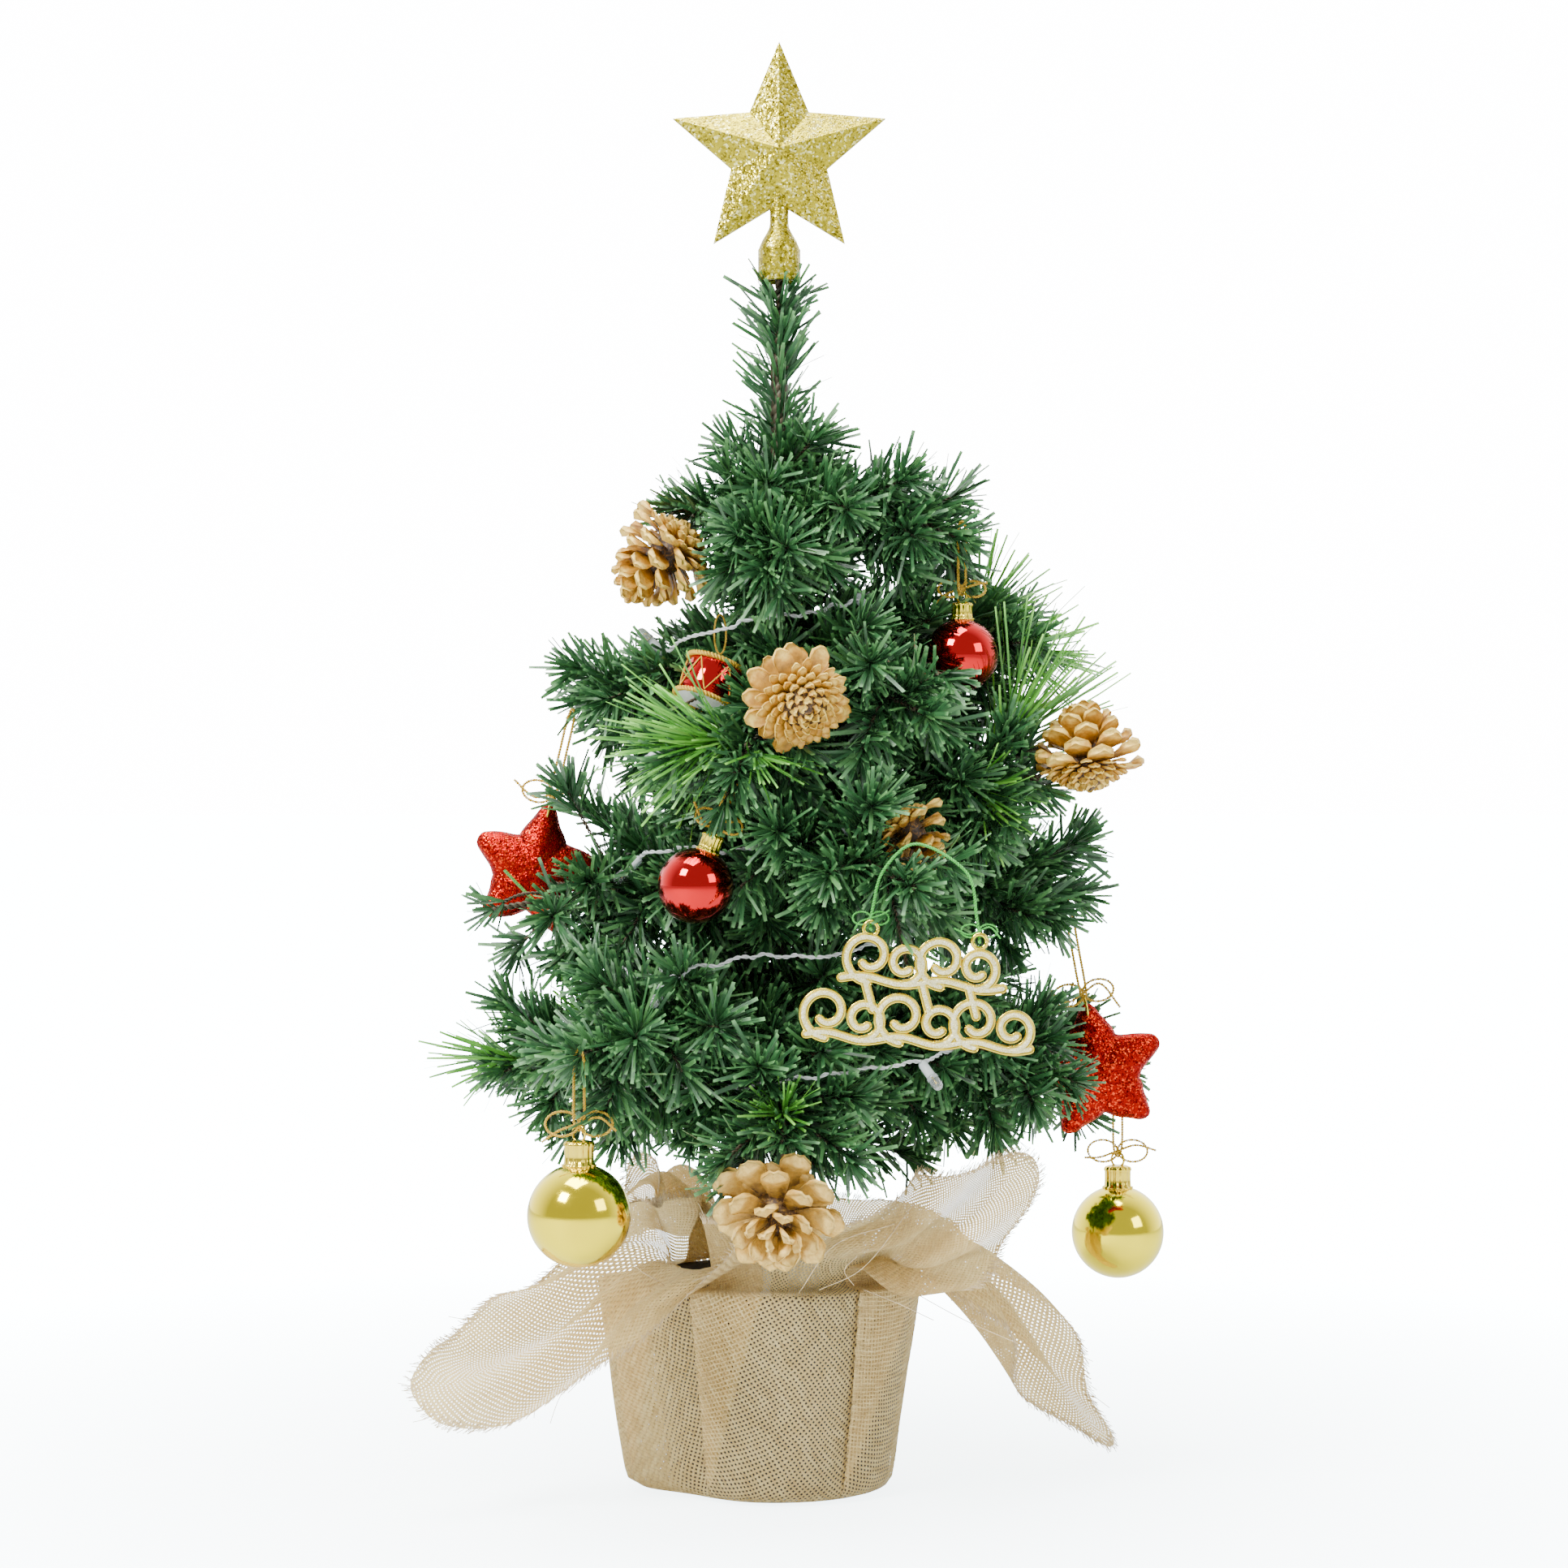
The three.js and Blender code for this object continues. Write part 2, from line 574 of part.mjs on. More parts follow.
// A curl that starts on its outside at angle `from` and winds inwards.
const curl = (x, z, r, from, turns) => (t) => {
  const a = rad(from) + 2 * Math.PI * turns * t;
  const radius = r * (1 - 0.62 * t);
  return [x + radius * Math.cos(a), z + radius * Math.sin(a)];
};

const wave = (x0, x1, z, height, waves) => (t) => [
  THREE.MathUtils.lerp(x0, x1, t),
  z + height * Math.sin(2 * Math.PI * waves * t),
];

const PLAQUE_ROWS = {
  upper: { x0: -21, step: 14, count: 4, z: 6.5, r: 8 },
  lower: { x0: -36, step: 14.4, count: 6, z: -16, r: 8 },
};
const PLAQUE_EYES = [[-21, 22.4], [21, 20.4]];

function plaqueSolid() {
  const { stroke: width, thick } = PLAQUE;
  let plate = stroke(wave(-31, 31, -0.5, 1.2, 2), width, thick, 12);
  plate = plate.add(stroke(wave(-43, 43, -23, 1.2, 3), width, thick, 16));
  for (const { x0, step, count, z, r } of Object.values(PLAQUE_ROWS)) {
    for (let i = 0; i < count; i++) {
      const tall = i % 2 ? 1 : 1.25;
      const scroll = curl(x0 + step * i, z + (tall - 1) * r, r * tall, -90, i % 2 ? 1.1 : -1.1);
      plate = plate.add(stroke(scroll, width, thick, 11));
    }
  }
  for (const x of [-22, 0, 18]) plate = plate.add(stroke((t) => [x + 4 * t, -1 - 12 * t], width, thick, 2));
  for (const [x, z] of PLAQUE_EYES) {
    plate = plate.add(toSolid(new THREE.TorusGeometry(2.7, 1, 5, 12)).translate([x, z - 3.4, thick / 2]));
  }
  return plate;
}

const plaqueFrame = new THREE.Matrix4()
  .makeTranslation(...PLAQUE.at)
  .multiply(new THREE.Matrix4().makeRotationY(rad(PLAQUE.tilt)))
  .multiply(new THREE.Matrix4().makeRotationX(Math.PI / 2));

function makePlaque() {
  add('scroll_plaque', place(plaqueSolid(), plaqueFrame), goldGlitter);
  const eyes = PLAQUE_EYES.map(([x, z]) => (
    new THREE.Vector3(x, z - 3.4, PLAQUE.thick / 2).applyMatrix4(plaqueFrame)
  ));
  const { threadTop: top, threadY: back } = PLAQUE;
  const path = new THREE.CatmullRomCurve3([
    eyes[0].clone().add(new THREE.Vector3(0, -1, -0.3)),
    eyes[0].clone().add(new THREE.Vector3(0, 2.2, 1)),
    eyes[0].clone().add(new THREE.Vector3(1, 2, 9)),
    new THREE.Vector3(eyes[0].x + 5, back, top - 10),
    new THREE.Vector3(PLAQUE.at[0] - 2, back, top),
    new THREE.Vector3(eyes[1].x - 5, back, top - 11),
    eyes[1].clone().add(new THREE.Vector3(-1, 2, 9)),
    eyes[1].clone().add(new THREE.Vector3(0, 2.2, 1)),
    eyes[1].clone().add(new THREE.Vector3(0, -1, -0.3)),
  ]);
  add('plaque_thread', tube(path, 0.4, 6, 24), greenThread);
}

// ---- assembly ----
makePot();
makeBallast();
makeWrap();
makeCollar();
makeTrunk();
makeBatteryCase();
makeTopper();
makeBaubles();
makeRedStars();
makePlaque();
makeDrum();
for (const [name, spec] of Object.entries(CONES)) add(name, coneSolid(spec), coneGold);
add('light_string', stringSolid(CORD_R, 5, 0), clearVinyl);

// The needles give way to what nestles in them, so each branch is cut clear of its neighbours.
const NESTLE = 1.2;
const nestled = [stringSolid(CORD_CLEAR_R, 5, LED.clear), drumSolid(NESTLE)];
for (const spec of Object.values(CONES)) nestled.push(coneSolid(spec, NESTLE));
for (const spec of Object.values(BAUBLES)) {
  nestled.push(moved(new THREE.SphereGeometry(spec.r + NESTLE, 10, 6), hang(spec)), hookSlot(spec));
}
for (const spec of Object.values(RED_STARS)) nestled.push(hookSlot(spec));
for (const [name, spec] of Object.entries(BRANCHES)) {
  let solid = branchSolid(spec);
  for (const other of nestled) solid = solid.subtract(other);
  add(`branch_${name}`, solid, needles);
}

export default tree;
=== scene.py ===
# The look of an artificial tabletop Christmas tree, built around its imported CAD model.
# Lengths are in metres, or in millimetres where a table says so. +Z is up and the front is at -Y.
import json
import math

import bmesh
import bpy
import numpy as np
from mathutils import Matrix, Vector


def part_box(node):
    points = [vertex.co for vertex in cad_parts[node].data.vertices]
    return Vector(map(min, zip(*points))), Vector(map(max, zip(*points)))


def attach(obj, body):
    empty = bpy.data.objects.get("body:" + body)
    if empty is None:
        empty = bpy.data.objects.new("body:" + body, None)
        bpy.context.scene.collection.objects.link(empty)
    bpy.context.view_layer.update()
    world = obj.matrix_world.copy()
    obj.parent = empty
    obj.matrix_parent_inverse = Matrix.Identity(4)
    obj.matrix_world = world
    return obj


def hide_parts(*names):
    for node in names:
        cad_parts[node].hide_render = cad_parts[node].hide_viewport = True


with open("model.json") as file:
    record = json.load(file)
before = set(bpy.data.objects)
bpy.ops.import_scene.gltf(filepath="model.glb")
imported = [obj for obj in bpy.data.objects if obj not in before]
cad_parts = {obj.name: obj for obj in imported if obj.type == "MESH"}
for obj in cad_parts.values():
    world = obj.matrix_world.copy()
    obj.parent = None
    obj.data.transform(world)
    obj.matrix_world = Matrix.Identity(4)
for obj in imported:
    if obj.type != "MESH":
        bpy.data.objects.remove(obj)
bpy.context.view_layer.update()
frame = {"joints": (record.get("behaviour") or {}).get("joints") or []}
MM = 0.001
TURN = 2 * math.pi
GOLDEN_ANGLE = 2.39996
Z_AXIS = np.array([0, 0, 1.0])

# ---- the object's dimensions, in millimetres ----
# each branch's tilt up from level in degrees, its length, its number of side twigs and how far its tip droops
BRANCHES = {
    "a_right": (-8, 80, 8, 9), "a_left": (8, 44, 5, 3), "a_front": (-20, 60, 7, 6), "a_back": (2, 60, 7, 0),
    "b_right": (1, 108, 11, 2), "b_left": (-14, 84, 10, 0), "b_front_left": (-27, 98, 9, 0),
    "b_front_right": (-16, 98, 11, 4), "b_back": (-4, 94, 9, 0), "c_right": (4, 108, 12, 0),
    "c_right_back": (-8, 132, 14, 0), "c_left": (-6, 120, 14, 4), "c_front": (-10, 122, 13, 4),
    "c_back": (-3, 108, 11, 0), "d_left": (-8, 120, 15, 3), "d_front_left": (-3, 131, 14, 5),
    "d_front": (-18, 102, 13, 3), "d_right": (-9, 126, 15, 5), "d_right_back": (-12, 168, 14, 4),
    "d_back": (-2, 112, 12, 0),
}
TWIG_PLACES = (0.12, 0.8)  # where along a branch its first and last side twigs grow
TWIG_LENGTHS = (54, 24)
FULL_BRANCH = 95  # a branch shorter than this has shorter twigs
NEEDLE = {"length": (16, 27), "width": (1.2, 1.9), "per_mm": 3.6}
LONG_NEEDLE = {"length": (34, 50), "width": (0.8, 1.2), "lean": (4, 62)}
NEEDLE_ENDS = (0.62, 0.85)  # how wide a needle is at its root and at its tip, as a share of its width
TIP_LEAN = (4, 40)  # how far the needles at a twig's tip lean away from it, in degrees
# tufts of long thin needles: where along a branch they are tied in, the way they point (forward, across, up),
# their size and how many needles they have
SPRIGS = {
    "b_right": [(0.86, (0.85, 0.1, -0.25), 0.75, 60), (0.7, (0.8, -0.35, 0.75), 0.85, 90)],
    "b_front_left": [(0.76, (0.4, 0.85, 0.1), 0.95, 110), (0.9, (0.5, -0.6, 0.3), 0.6, 40)],
    "c_left": [(0.62, (0.5, 0.1, 1.0), 0.95, 70), (0.76, (0.8, 0.15, -0.6), 0.9, 80),
               (0.86, (0.75, 0.3, 0.9), 0.9, 30)],
    "c_right": [(0.8, (0.75, -0.1, 1.0), 1.25, 150), (0.7, (0.6, 0.5, -0.4), 0.7, 44)],
    "d_front": [(0.84, (0.7, 0.0, 0.4), 0.5, 44)],
    "d_left": [(0.6, (0.7, 0.4, 1.0), 0.7, 40), (0.85, (1.0, 0.0, 0.3), 0.75, 44)],
    "d_back": [(0.7, (0.8, 0.3, 0.3), 0.5, 50)],
    "c_back": [(0.7, (0.8, -0.3, 0.3), 0.5, 50)],
}
# longer side boughs: where along a branch they start, the way they point (forward, across, up), their length
BOUGHS = {
    "c_left": [(0.55, (0.45, 0.0, 1.0), 46), (0.3, (0.5, 0.8, 0.5), 50), (0.5, (0.7, 0.2, -0.6), 46)],
    "b_right": [(0.5, (0.6, 0.3, -0.9), 44), (0.75, (0.8, -0.2, 0.25), 30)],
    "c_right": [(0.55, (0.8, 0.5, -0.8), 42), (0.7, (0.7, 0.3, 0.6), 30), (0.8, (0.9, -0.3, -0.2), 28)],
    "c_right_back": [(0.6, (0.6, 0.8, -0.3), 48), (0.4, (0.5, 0.9, 0.5), 50), (0.75, (0.8, 0.3, 0.5), 40)],
    "c_front": [(0.4, (0.6, 0.9, 0.2), 48), (0.5, (0.7, -0.6, -0.6), 40)],
    "d_right": [(0.5, (0.6, 0.7, 0.7), 46), (0.75, (0.7, 0.0, 0.8), 30), (0.4, (0.6, -0.3, -0.8), 44)],
    "d_front_left": [(0.5, (0.7, 0.6, 0.6), 46), (0.45, (0.6, 0.2, -0.8), 46)],
    "d_left": [(0.4, (0.6, -0.3, -0.9), 46), (0.7, (0.8, 0.2, 0.7), 36)],
    "d_front": [(0.35, (0.5, 0.9, -0.2), 44), (0.35, (0.5, -0.9, -0.2), 46)],
    "b_left": [(0.6, (0.7, 0.5, -0.7), 34), (0.5, (0.6, 0.3, -1.0), 44)],
}
# each cone's branch, its size, the way its stalk points, how wide its scales open, how many small and large
# scales it has, and how slim its large ones are
CONES = {
    "pine_cone_upper_left": {"body": "branch_a_left", "d": 46, "h": 48, "stalk": (0.75, 0.1, 0.62),
                             "spread": 0.9, "scales": (44, 44)},
    "pine_cone_centre": {"body": "branch_b_front_left", "d": 46, "h": 42, "stalk": (0.3, -0.85, -0.42),
                         "spread": 0.25, "scales": (84, 46), "slim": 0.68},
    "pine_cone_right": {"body": "branch_c_right", "d": 46, "h": 42, "stalk": (0.08, -0.2, -1),
                        "spread": 0.8, "scales": (56, 38)},
    "pine_cone_small": {"body": "branch_c_front", "d": 32, "h": 34, "stalk": (-0.6, 0.2, 0.7),
                        "spread": 0.85, "scales": (24, 24)},
    "pine_cone_front": {"body": "branch_d_front", "d": 52, "h": 36, "stalk": (0.05, 0.85, 0.5),
                        "spread": 1.0, "scales": (24, 31), "slim": 0.96},
}
DOME = 0.43  # the radius of a cone's dome of small scales, as a share of the cone's width
# the radius of each ball, and each star's size from its middle to a point
BAUBLES = {"red_bauble_right": 15, "red_bauble_left": 15, "gold_bauble_left": 20, "gold_bauble_right": 20}
RED_STARS = {"red_star_right": 28, "red_star_left": 27}
STAR_THICK, STAR_ROUND = 7.2, 4.2  # half a red star's thickness at its middle, and the radius of its points
DRUM = {"r": 12, "h": 17, "tilt_x": -16, "tilt_y": 20}
PLAQUE = {"at": (55, -107, 215), "thick": 2, "stroke": 3.8, "tilt": 4, "thread_top": 268, "thread_y": -108}
TOPPER = {"socket": 500, "centre": 553.5, "tip": 46.5, "notch": 21, "half": 13, "seam": 1.2}
POT = {"base": 45, "rim": 57, "height": 84, "wall": 2, "floor": 3, "bottom": 2.2}
CASE = {"wall": 1.6, "end": 3, "cap": 6}  # the battery case's wall, its bottom end and its top end
# the light string's lead out of the battery case, and the turns that climb the tree
LEAD = [(-10, 28, 108.4), (-10, 29, 118), (-16, 36, 132), (-34, 58, 146)]
TURNS = {"count": 5, "start": 124, "r0": 96, "r1": 40, "z0": 158, "z1": 388}  # start in degrees
LED_COUNT = 20
LED_STRETCH = (0.09, 0.99)  # where along the string the first and the last LED are
# the stretches of the trunk, as heights: its pole, its thin leader, the needles on each, and its side twigs
TRUNK = {"pole": (8.4, 470), "leader": (466, 524), "needles": (136, 430), "leader_needles": (424, 492),
         "twigs": (148, 428)}
TRUNK_TWIGS = {"count": 54, "length": (58, 22)}
# the radius of a strand and the length of one twist, for each kind of wire and thread
STRANDS = {
    "trunk": (2.0, 16), "leader": (1.05, 7), "branch": (0.75, 5.5), "twig": (0.42, 4), "tie": (0.4, 3),
    "string": (0.44, 7), "ball_thread": (0.32, 2.2), "ball_bow": (0.3, 2.2), "star_thread": (0.34, 2.2),
    "star_bow": (0.32, 2.2), "drum_rim": (0.6, 3), "drum_loop": (0.22, 1.6), "plaque_cord": (0.34, 2.2),
    "plaque_bow": (0.2, 1.8),
}
# an LED's sleeve and its lens: (radius, height)
SLEEVE_SHAPE = [(0, 0.4), (1.5, 0.5), (1.9, 1.2), (1.95, 8.4), (1.6, 8.9), (0, 9)]
LENS_SHAPE = [(1.5, 8.3), (2.35, 8.6), (2.4, 9.4), (2.2, 9.9), (2.2, 12.6), (1.9, 14), (1.1, 14.8), (0, 15.1)]
# the rim of a ball's cap: (radius as a share of the cap's, height); on its side the height is a share too
CAP_RIM = [(0.98, -0.6), (1.16, 0), (1.18, 0.5), (1, 0.9)]
CAP_SIDE = [(0.97, 0.35), (0.97, 0.75), (1.03, 0.78), (1.03, 0.86), (0.96, 0.94), (0.7, 1), (0, 1)]
# the topper's neck, from its socket up: (radius, height)
NECK_SHAPE = [(6.2, 12), (6.4, 0.4), (6.8, 0), (8.0, 0), (8.5, 0.5), (8.5, 13), (8.2, 14.6), (7.2, 17),
              (5.2, 20.4), (4.2, 22.4), (3.9, 24.5), (3.9, 44), (3.4, 46), (0, 46.5)]
# the plaque's rows of scrolls: the first one's place, the step to the next, their number, height and radius
SCROLLS = [(-21, 14, 4, 6.5, 8), (-36, 14.4, 6, -16, 8)]
# the cross-sections of its gold edge and its pale face, as shares of half a stroke's width and of its depth
EDGE_SHAPE = [(-1, 0), (-1, 0.6), (-0.82, 0.95), (-0.6, 0.8), (0.6, 0.8), (0.82, 0.95), (1, 0.6), (1, 0),
              (-1, 0)]
FACE_SHAPE = [(-0.5, 0.72), (-0.4, 1.0), (0, 1.1), (0.4, 1.0), (0.5, 0.72)]
# what keeps needles away: the shift and the radius of spheres round an ornament, as shares of its size
BALL_CLEAR = [(0, -0.25, 0, 1.2)]
SMALL_BALL_CLEAR = [(0, -1.6, 0.24, 1.05), (0, -2.8, 0.42, 1.05), (0, -4.0, 0.6, 1.05)]
STAR_CLEAR = [(0, -0.6, 0, 0.72), (0.4, -0.6, 0.2, 0.72), (-0.4, -0.6, 0.2, 0.72), (0, -0.5, -0.6, 0.6)]
CONE_CLEAR = [(0, -0.12, 0, 0.5), (0, -0.8, 0, 0.34)]

# ---- the cloth ----
CLOTH_SIDE = 380
RIM_FLAT = 130.8  # from the cloth's middle to the pot's rim, along the cloth
WEAVE_PITCH = 1.7  # from thread to thread
WEAVE_TURN = 30  # between the threads and the cloth's sides, in degrees
FOLD_FLAT = 58  # the width of one lengthwise fold on the flat cloth
FOLD_HIGH = FOLD_FLAT / 6  # how far a fold can stand out from the middle of the gathered cloth
CLOTH_GRID = {"around": 560, "inner": 34, "outer": 30}  # points round it, and rows inside and past the rim
FRAY_RADIUS = {"edge": 0.15, "loose": 0.17}
UNDER_POT = 38  # this far from its middle the cloth lies flat under the pot
PLEAT_DEPTH = 0.85  # from the middle of a pleat to its outermost layer
# the cloth up the pot's side, and where it goes past the rim: (distance along it, radius, height)
WALL = [(0, 0, 0.3), (41, 41, 0.3), (44.7, 44.6, 1.1), (47.8, 46.8, 3.2), (51.7, 47.8, 7), (129, 59.0, 84.4),
        (RIM_FLAT, 59.2, 86.4)]
COLLAR = [(0, 59.2, 86.4), (3, 58.2, 87.9), (6.6, 55, 88.0), (11.8, 50, 86.6), (16.6, 46.2, 88),
          (24.7, 45.6, 94), (36, 47.6, 103), (60, 51.5, 114)]
# where each pleat's stretch begins, in degrees clockwise from the right, and its share up to the fold's edge
PLEATS = [(-158, 0.8), (-118, 0.8), (-75, 0.78), (-30, 0.45), (22, 0.56), (86, 0.8), (138, 0.8), (171, 0.8)]
# how each corner of the cloth lies: its direction on the flat cloth, the line that it follows, the way of its
# width at its root and at its tip, and half its gathered width at its root, its middle and its tip
CORNERS = [
    (208, [(-44, -24, 95), (-63, -35, 88), (-92, -48, 66), (-124, -60, 53), (-149, -70, 53)],
     [(0.35, -0.75, -0.55), (-0.25, -0.3, -0.9)], (28, 27, 12)),
    (298, [(20, -44, 91), (46, -56, 100), (70, -60, 113), (88, -57, 128), (103, -53, 144)],
     [(0.7, 0.3, -0.6), (0.8, 0.0, -0.6)], (16, 24, 4)),
    (28, [(44, 22, 94), (70, 32, 88), (98, 42, 62), (122, 48, 30), (147, 52, 3)],
     [(-0.5, 0.85, 0.3), (0.7, 0.1, 0.7)], (28, 22, 2)),
    (118, [(-24, 42, 94), (-38, 50, 108), (-52, 52, 118), (-64, 48, 110), (-78, 44, 88)],
     [(0.7, 0.5, 0.4), (0.5, 0.2, -0.7)], (22, 16, 3)),
]
# a loose fold on the pot's left side: its direction in degrees and how far it stands out
LOOSE_FOLD = {"at": 190, "depth": 16}
# long threads that have come loose at the rim: where each starts, passes and ends
LOOSE_THREADS = [
    ((8, -58, 88), (22, -66, 108), (46, -62, 116)), ((16, -58, 89), (34, -68, 100), (54, -60, 124)),
    ((34, -50, 88), (48, -62, 84), (62, -52, 76)), ((52, -34, 86), (74, -50, 76), (96, -48, 66)),
    ((30, -52, 90), (26, -66, 98), (31, -68, 104)), ((-46, -40, 88), (-58, -58, 100), (-50, -66, 112)),
]
# the "tint" of a cloth point sets how wide its threads are
TINT_OPEN, TINT_WING, TINT_CLOSED = 0.5, 0.66, 1.0

# ---- the studio ----
BACKDROP_WHITE = 16.0  # how bright the surround is where the camera sees it
FLOOR_WHITE = 5.6  # how bright the floor's glow is close to the object
CLOTH_VEIL = 0.46  # how much of that white each layer of open cloth takes away
CAMERA = {"distance": 1400, "height": 291, "x": 2, "lens_mm": 77.2, "sensor_mm": 36}
FLOOR_SIZE = 30.0  # from the middle to each side, in metres
# where each light stands, the height it looks at, its size (these in metres) and its power in watts
LIGHTS = {
    "key": ((-1.2, -1.3, 1.7), 0.3, 0.7, 92), "fill": ((1.5, -1.1, 1.0), 0.28, 0.8, 13),
    "top": ((-0.2, -0.2, 1.9), 0.3, 0.9, 44),
}


# ---- small tools ----
def unit(v):
    v = np.asarray(v, float)
    return v / max(np.linalg.norm(v), 1e-9)


def units(rows):
    """Every row scaled to length one."""
    return rows / np.maximum(np.linalg.norm(rows, axis=-1, keepdims=True), 1e-9)


def mix(a, b, t):
    return a + (b - a) * t


def smooth(t):
    t = np.clip(t, 0, 1)
    return t * t * (3 - 2 * t)


def points(*coordinates):
    """Points from their x, y and z, each an array or one number."""
    return np.stack(np.broadcast_arrays(*coordinates), -1)


def round_turn(n, closed=True):
    """Angles round a full turn; a closed one ends where it starts."""
    return np.linspace(0, TURN, n, endpoint=closed)


def off_angle(degrees, middle):
    """How far an angle is from another, between -180 and 180 degrees."""
    return (degrees - middle + 180) % 360 - 180


def lengths_along(path):
    """How far along a path each of its points is."""
    return np.concatenate([[0], np.cumsum(np.linalg.norm(np.diff(path, axis=0), axis=1))])


def seeded(name):
    seed = int.from_bytes(name.encode()[:8].ljust(8, b"x"), "little") + len(name) * 7919
    return np.random.default_rng(seed)


def joint_of(body):
    return next(j for j in frame["joints"] if j["child"] == body)


def box_of(node):
    low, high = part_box(node)
    return np.array(low), np.array(high)


def box_centre(node):
    low, high = box_of(node)
    return (low + high) / 2


def turn_to(direction):
    """The rotation that takes +Z to a direction."""
    return np.array(Vector((0, 0, 1)).rotation_difference(Vector(unit(direction))).to_matrix())


def turned(degrees, axis):
    return Matrix.Rotation(math.radians(degrees), 3, axis)


class Bits:
    """Collects the vertices, faces and per-vertex data of one piece."""

    def __init__(self):
        self.verts, self.faces, self.uvs, self.tints, self.count = [], [], [], [], 0

    def add(self, verts, faces, uv=None, tint=0.5):
        verts = np.asarray(verts, float).reshape(-1, 3)
        n = len(verts)
        self.verts.append(verts)
        self.faces += [tuple(int(i) + self.count for i in face) for face in faces]
        self.uvs.append(np.zeros((n, 2)) if uv is None else np.asarray(uv, float).reshape(-1, 2))
        self.tints.append(np.broadcast_to(np.asarray(tint, float), (n,)))
        self.count += n

    def piece(self, name, material, body, slot, replaces=(), smooth_faces=True):
        mesh = bpy.data.meshes.new(name)
        mesh.from_pydata(np.concatenate(self.verts).tolist(), [], self.faces)
        uvs, tints = np.concatenate(self.uvs), np.concatenate(self.tints)
        index = np.empty(len(mesh.loops), np.int32)
        mesh.loops.foreach_get("vertex_index", index)
        mesh.uv_layers.new(name="UVMap").data.foreach_set("uv", uvs[index].astype(np.float32).ravel())
        mesh.attributes.new("tint", "FLOAT", "POINT").data.foreach_set("value", tints.astype(np.float32))
        mesh.polygons.foreach_set("use_smooth", [smooth_faces] * len(mesh.polygons))
        mesh.materials.append(material)
        mesh.update()
        obj = add_to_scene(bpy.data.objects.new(name, mesh))
        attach(obj, body)
        if replaces:
            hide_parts(*replaces)
        return obj


def add_to_scene(obj):
    bpy.context.scene.collection.objects.link(obj)
    return obj


def grid_faces(rows, cols, closed=False, flipped=False):
    """Quads over a grid of rows by cols vertices; closed joins the last column to the first."""
    faces = []
    for i in range(rows - 1):
        for j in range(cols if closed else cols - 1):
            k = (j + 1) % cols
            quad = (i * cols + j, i * cols + k, (i + 1) * cols + k, (i + 1) * cols + j)
            faces.append(quad[::-1] if flipped else quad)
    return faces


def frames_along(path):
    """Tangents and two cross directions along a path, with no sudden twist."""
    path = np.asarray(path, float)
    tangents = units(np.gradient(path, axis=0))
    first = np.cross(tangents[0], Z_AXIS if abs(tangents[0][2]) < 0.9 else (1, 0, 0))
    sides = [unit(first)]
    for t in tangents[1:]:
        sides.append(unit(sides[-1] - t * np.dot(sides[-1], t)))
    sides = np.array(sides)
    return tangents, sides, np.cross(tangents, sides)


def tube(bits, path, radius, sides, tint=0.5):
    """A tube along a path, closed at both ends."""
    path = np.asarray(path, float)
    n = len(path)
    _, side, up = frames_along(path)
    a = round_turn(sides, closed=False)
    ring = np.cos(a)[None, :, None] * side[:, None, :] + np.sin(a)[None, :, None] * up[:, None, :]
    verts = (path[:, None, :] + radius * ring).reshape(-1, 3)
    faces = grid_faces(n, sides, closed=True)
    faces += [tuple(range(sides))[::-1], tuple((n - 1) * sides + j for j in range(sides))]
    uv = points(a[None, :] / TURN, lengths_along(path)[:, None] / MM)
    bits.add(verts, faces, uv.reshape(-1, 2), tint)


def twisted(bits, path, kind, strands=2, sides=5, spread=1.0):
    """Strands of a kind wound round each other along a path."""
    strand_r, pitch = (x * MM for x in STRANDS[kind])
    path = resample(path, pitch / 9)
    _, side, up = frames_along(path)
    for k in range(strands):
        a = TURN * (lengths_along(path) / pitch + k / strands)
        offset = np.cos(a)[:, None] * side + np.sin(a)[:, None] * up
        tube(bits, path + offset * strand_r * spread, strand_r, sides)


def resample(path, step):
    path = np.asarray(path, float)
    length = lengths_along(path)
    s = np.linspace(0, length[-1], max(4, int(length[-1] / step) + 1))
    return np.stack([np.interp(s, length, path[:, k]) for k in range(3)], -1)


def curve_through(passed, n):
    """A smooth curve through points (Catmull-Rom), as n points."""
    p = np.asarray(passed, float)
    p = np.vstack([2 * p[0] - p[1], p, 2 * p[-1] - p[-2]])
    out = []
    for s in np.linspace(0, len(p) - 3 - 1e-9, n):
        i, t = int(s), s - int(s)
        a, b, c, d = p[i:i + 4]
        out.append(0.5 * (2 * b + (c - a) * t + (2 * a - 5 * b + 4 * c - d) * t * t
                          + (3 * b - a - 3 * c + d) * t ** 3))
    return np.array(out)


def lathe(bits, profile, segments, at=(0, 0, 0), turn=None, tint=0.5, wobble=None):
    """A surface of revolution about +Z from (radius, height) pairs in metres."""
    profile = np.asarray(profile, float)
    a = round_turn(segments, closed=False)
    r = np.broadcast_to(profile[:, :1], (len(profile), segments)).copy()
    if wobble is not None:
        r = r * wobble(a[None, :], np.arange(len(profile))[:, None])
    verts = points(r * np.cos(a), r * np.sin(a), profile[:, 1:2]).reshape(-1, 3)
    if turn is not None:
        verts = verts @ np.asarray(turn).T
    uv = points(a[None, :] / TURN, profile[:, 1:2])
    bits.add(verts + np.asarray(at), grid_faces(len(profile), segments, closed=True), uv.reshape(-1, 2), tint)


def in_metres(pairs):
    return [(a * MM, b * MM) for a, b in pairs]


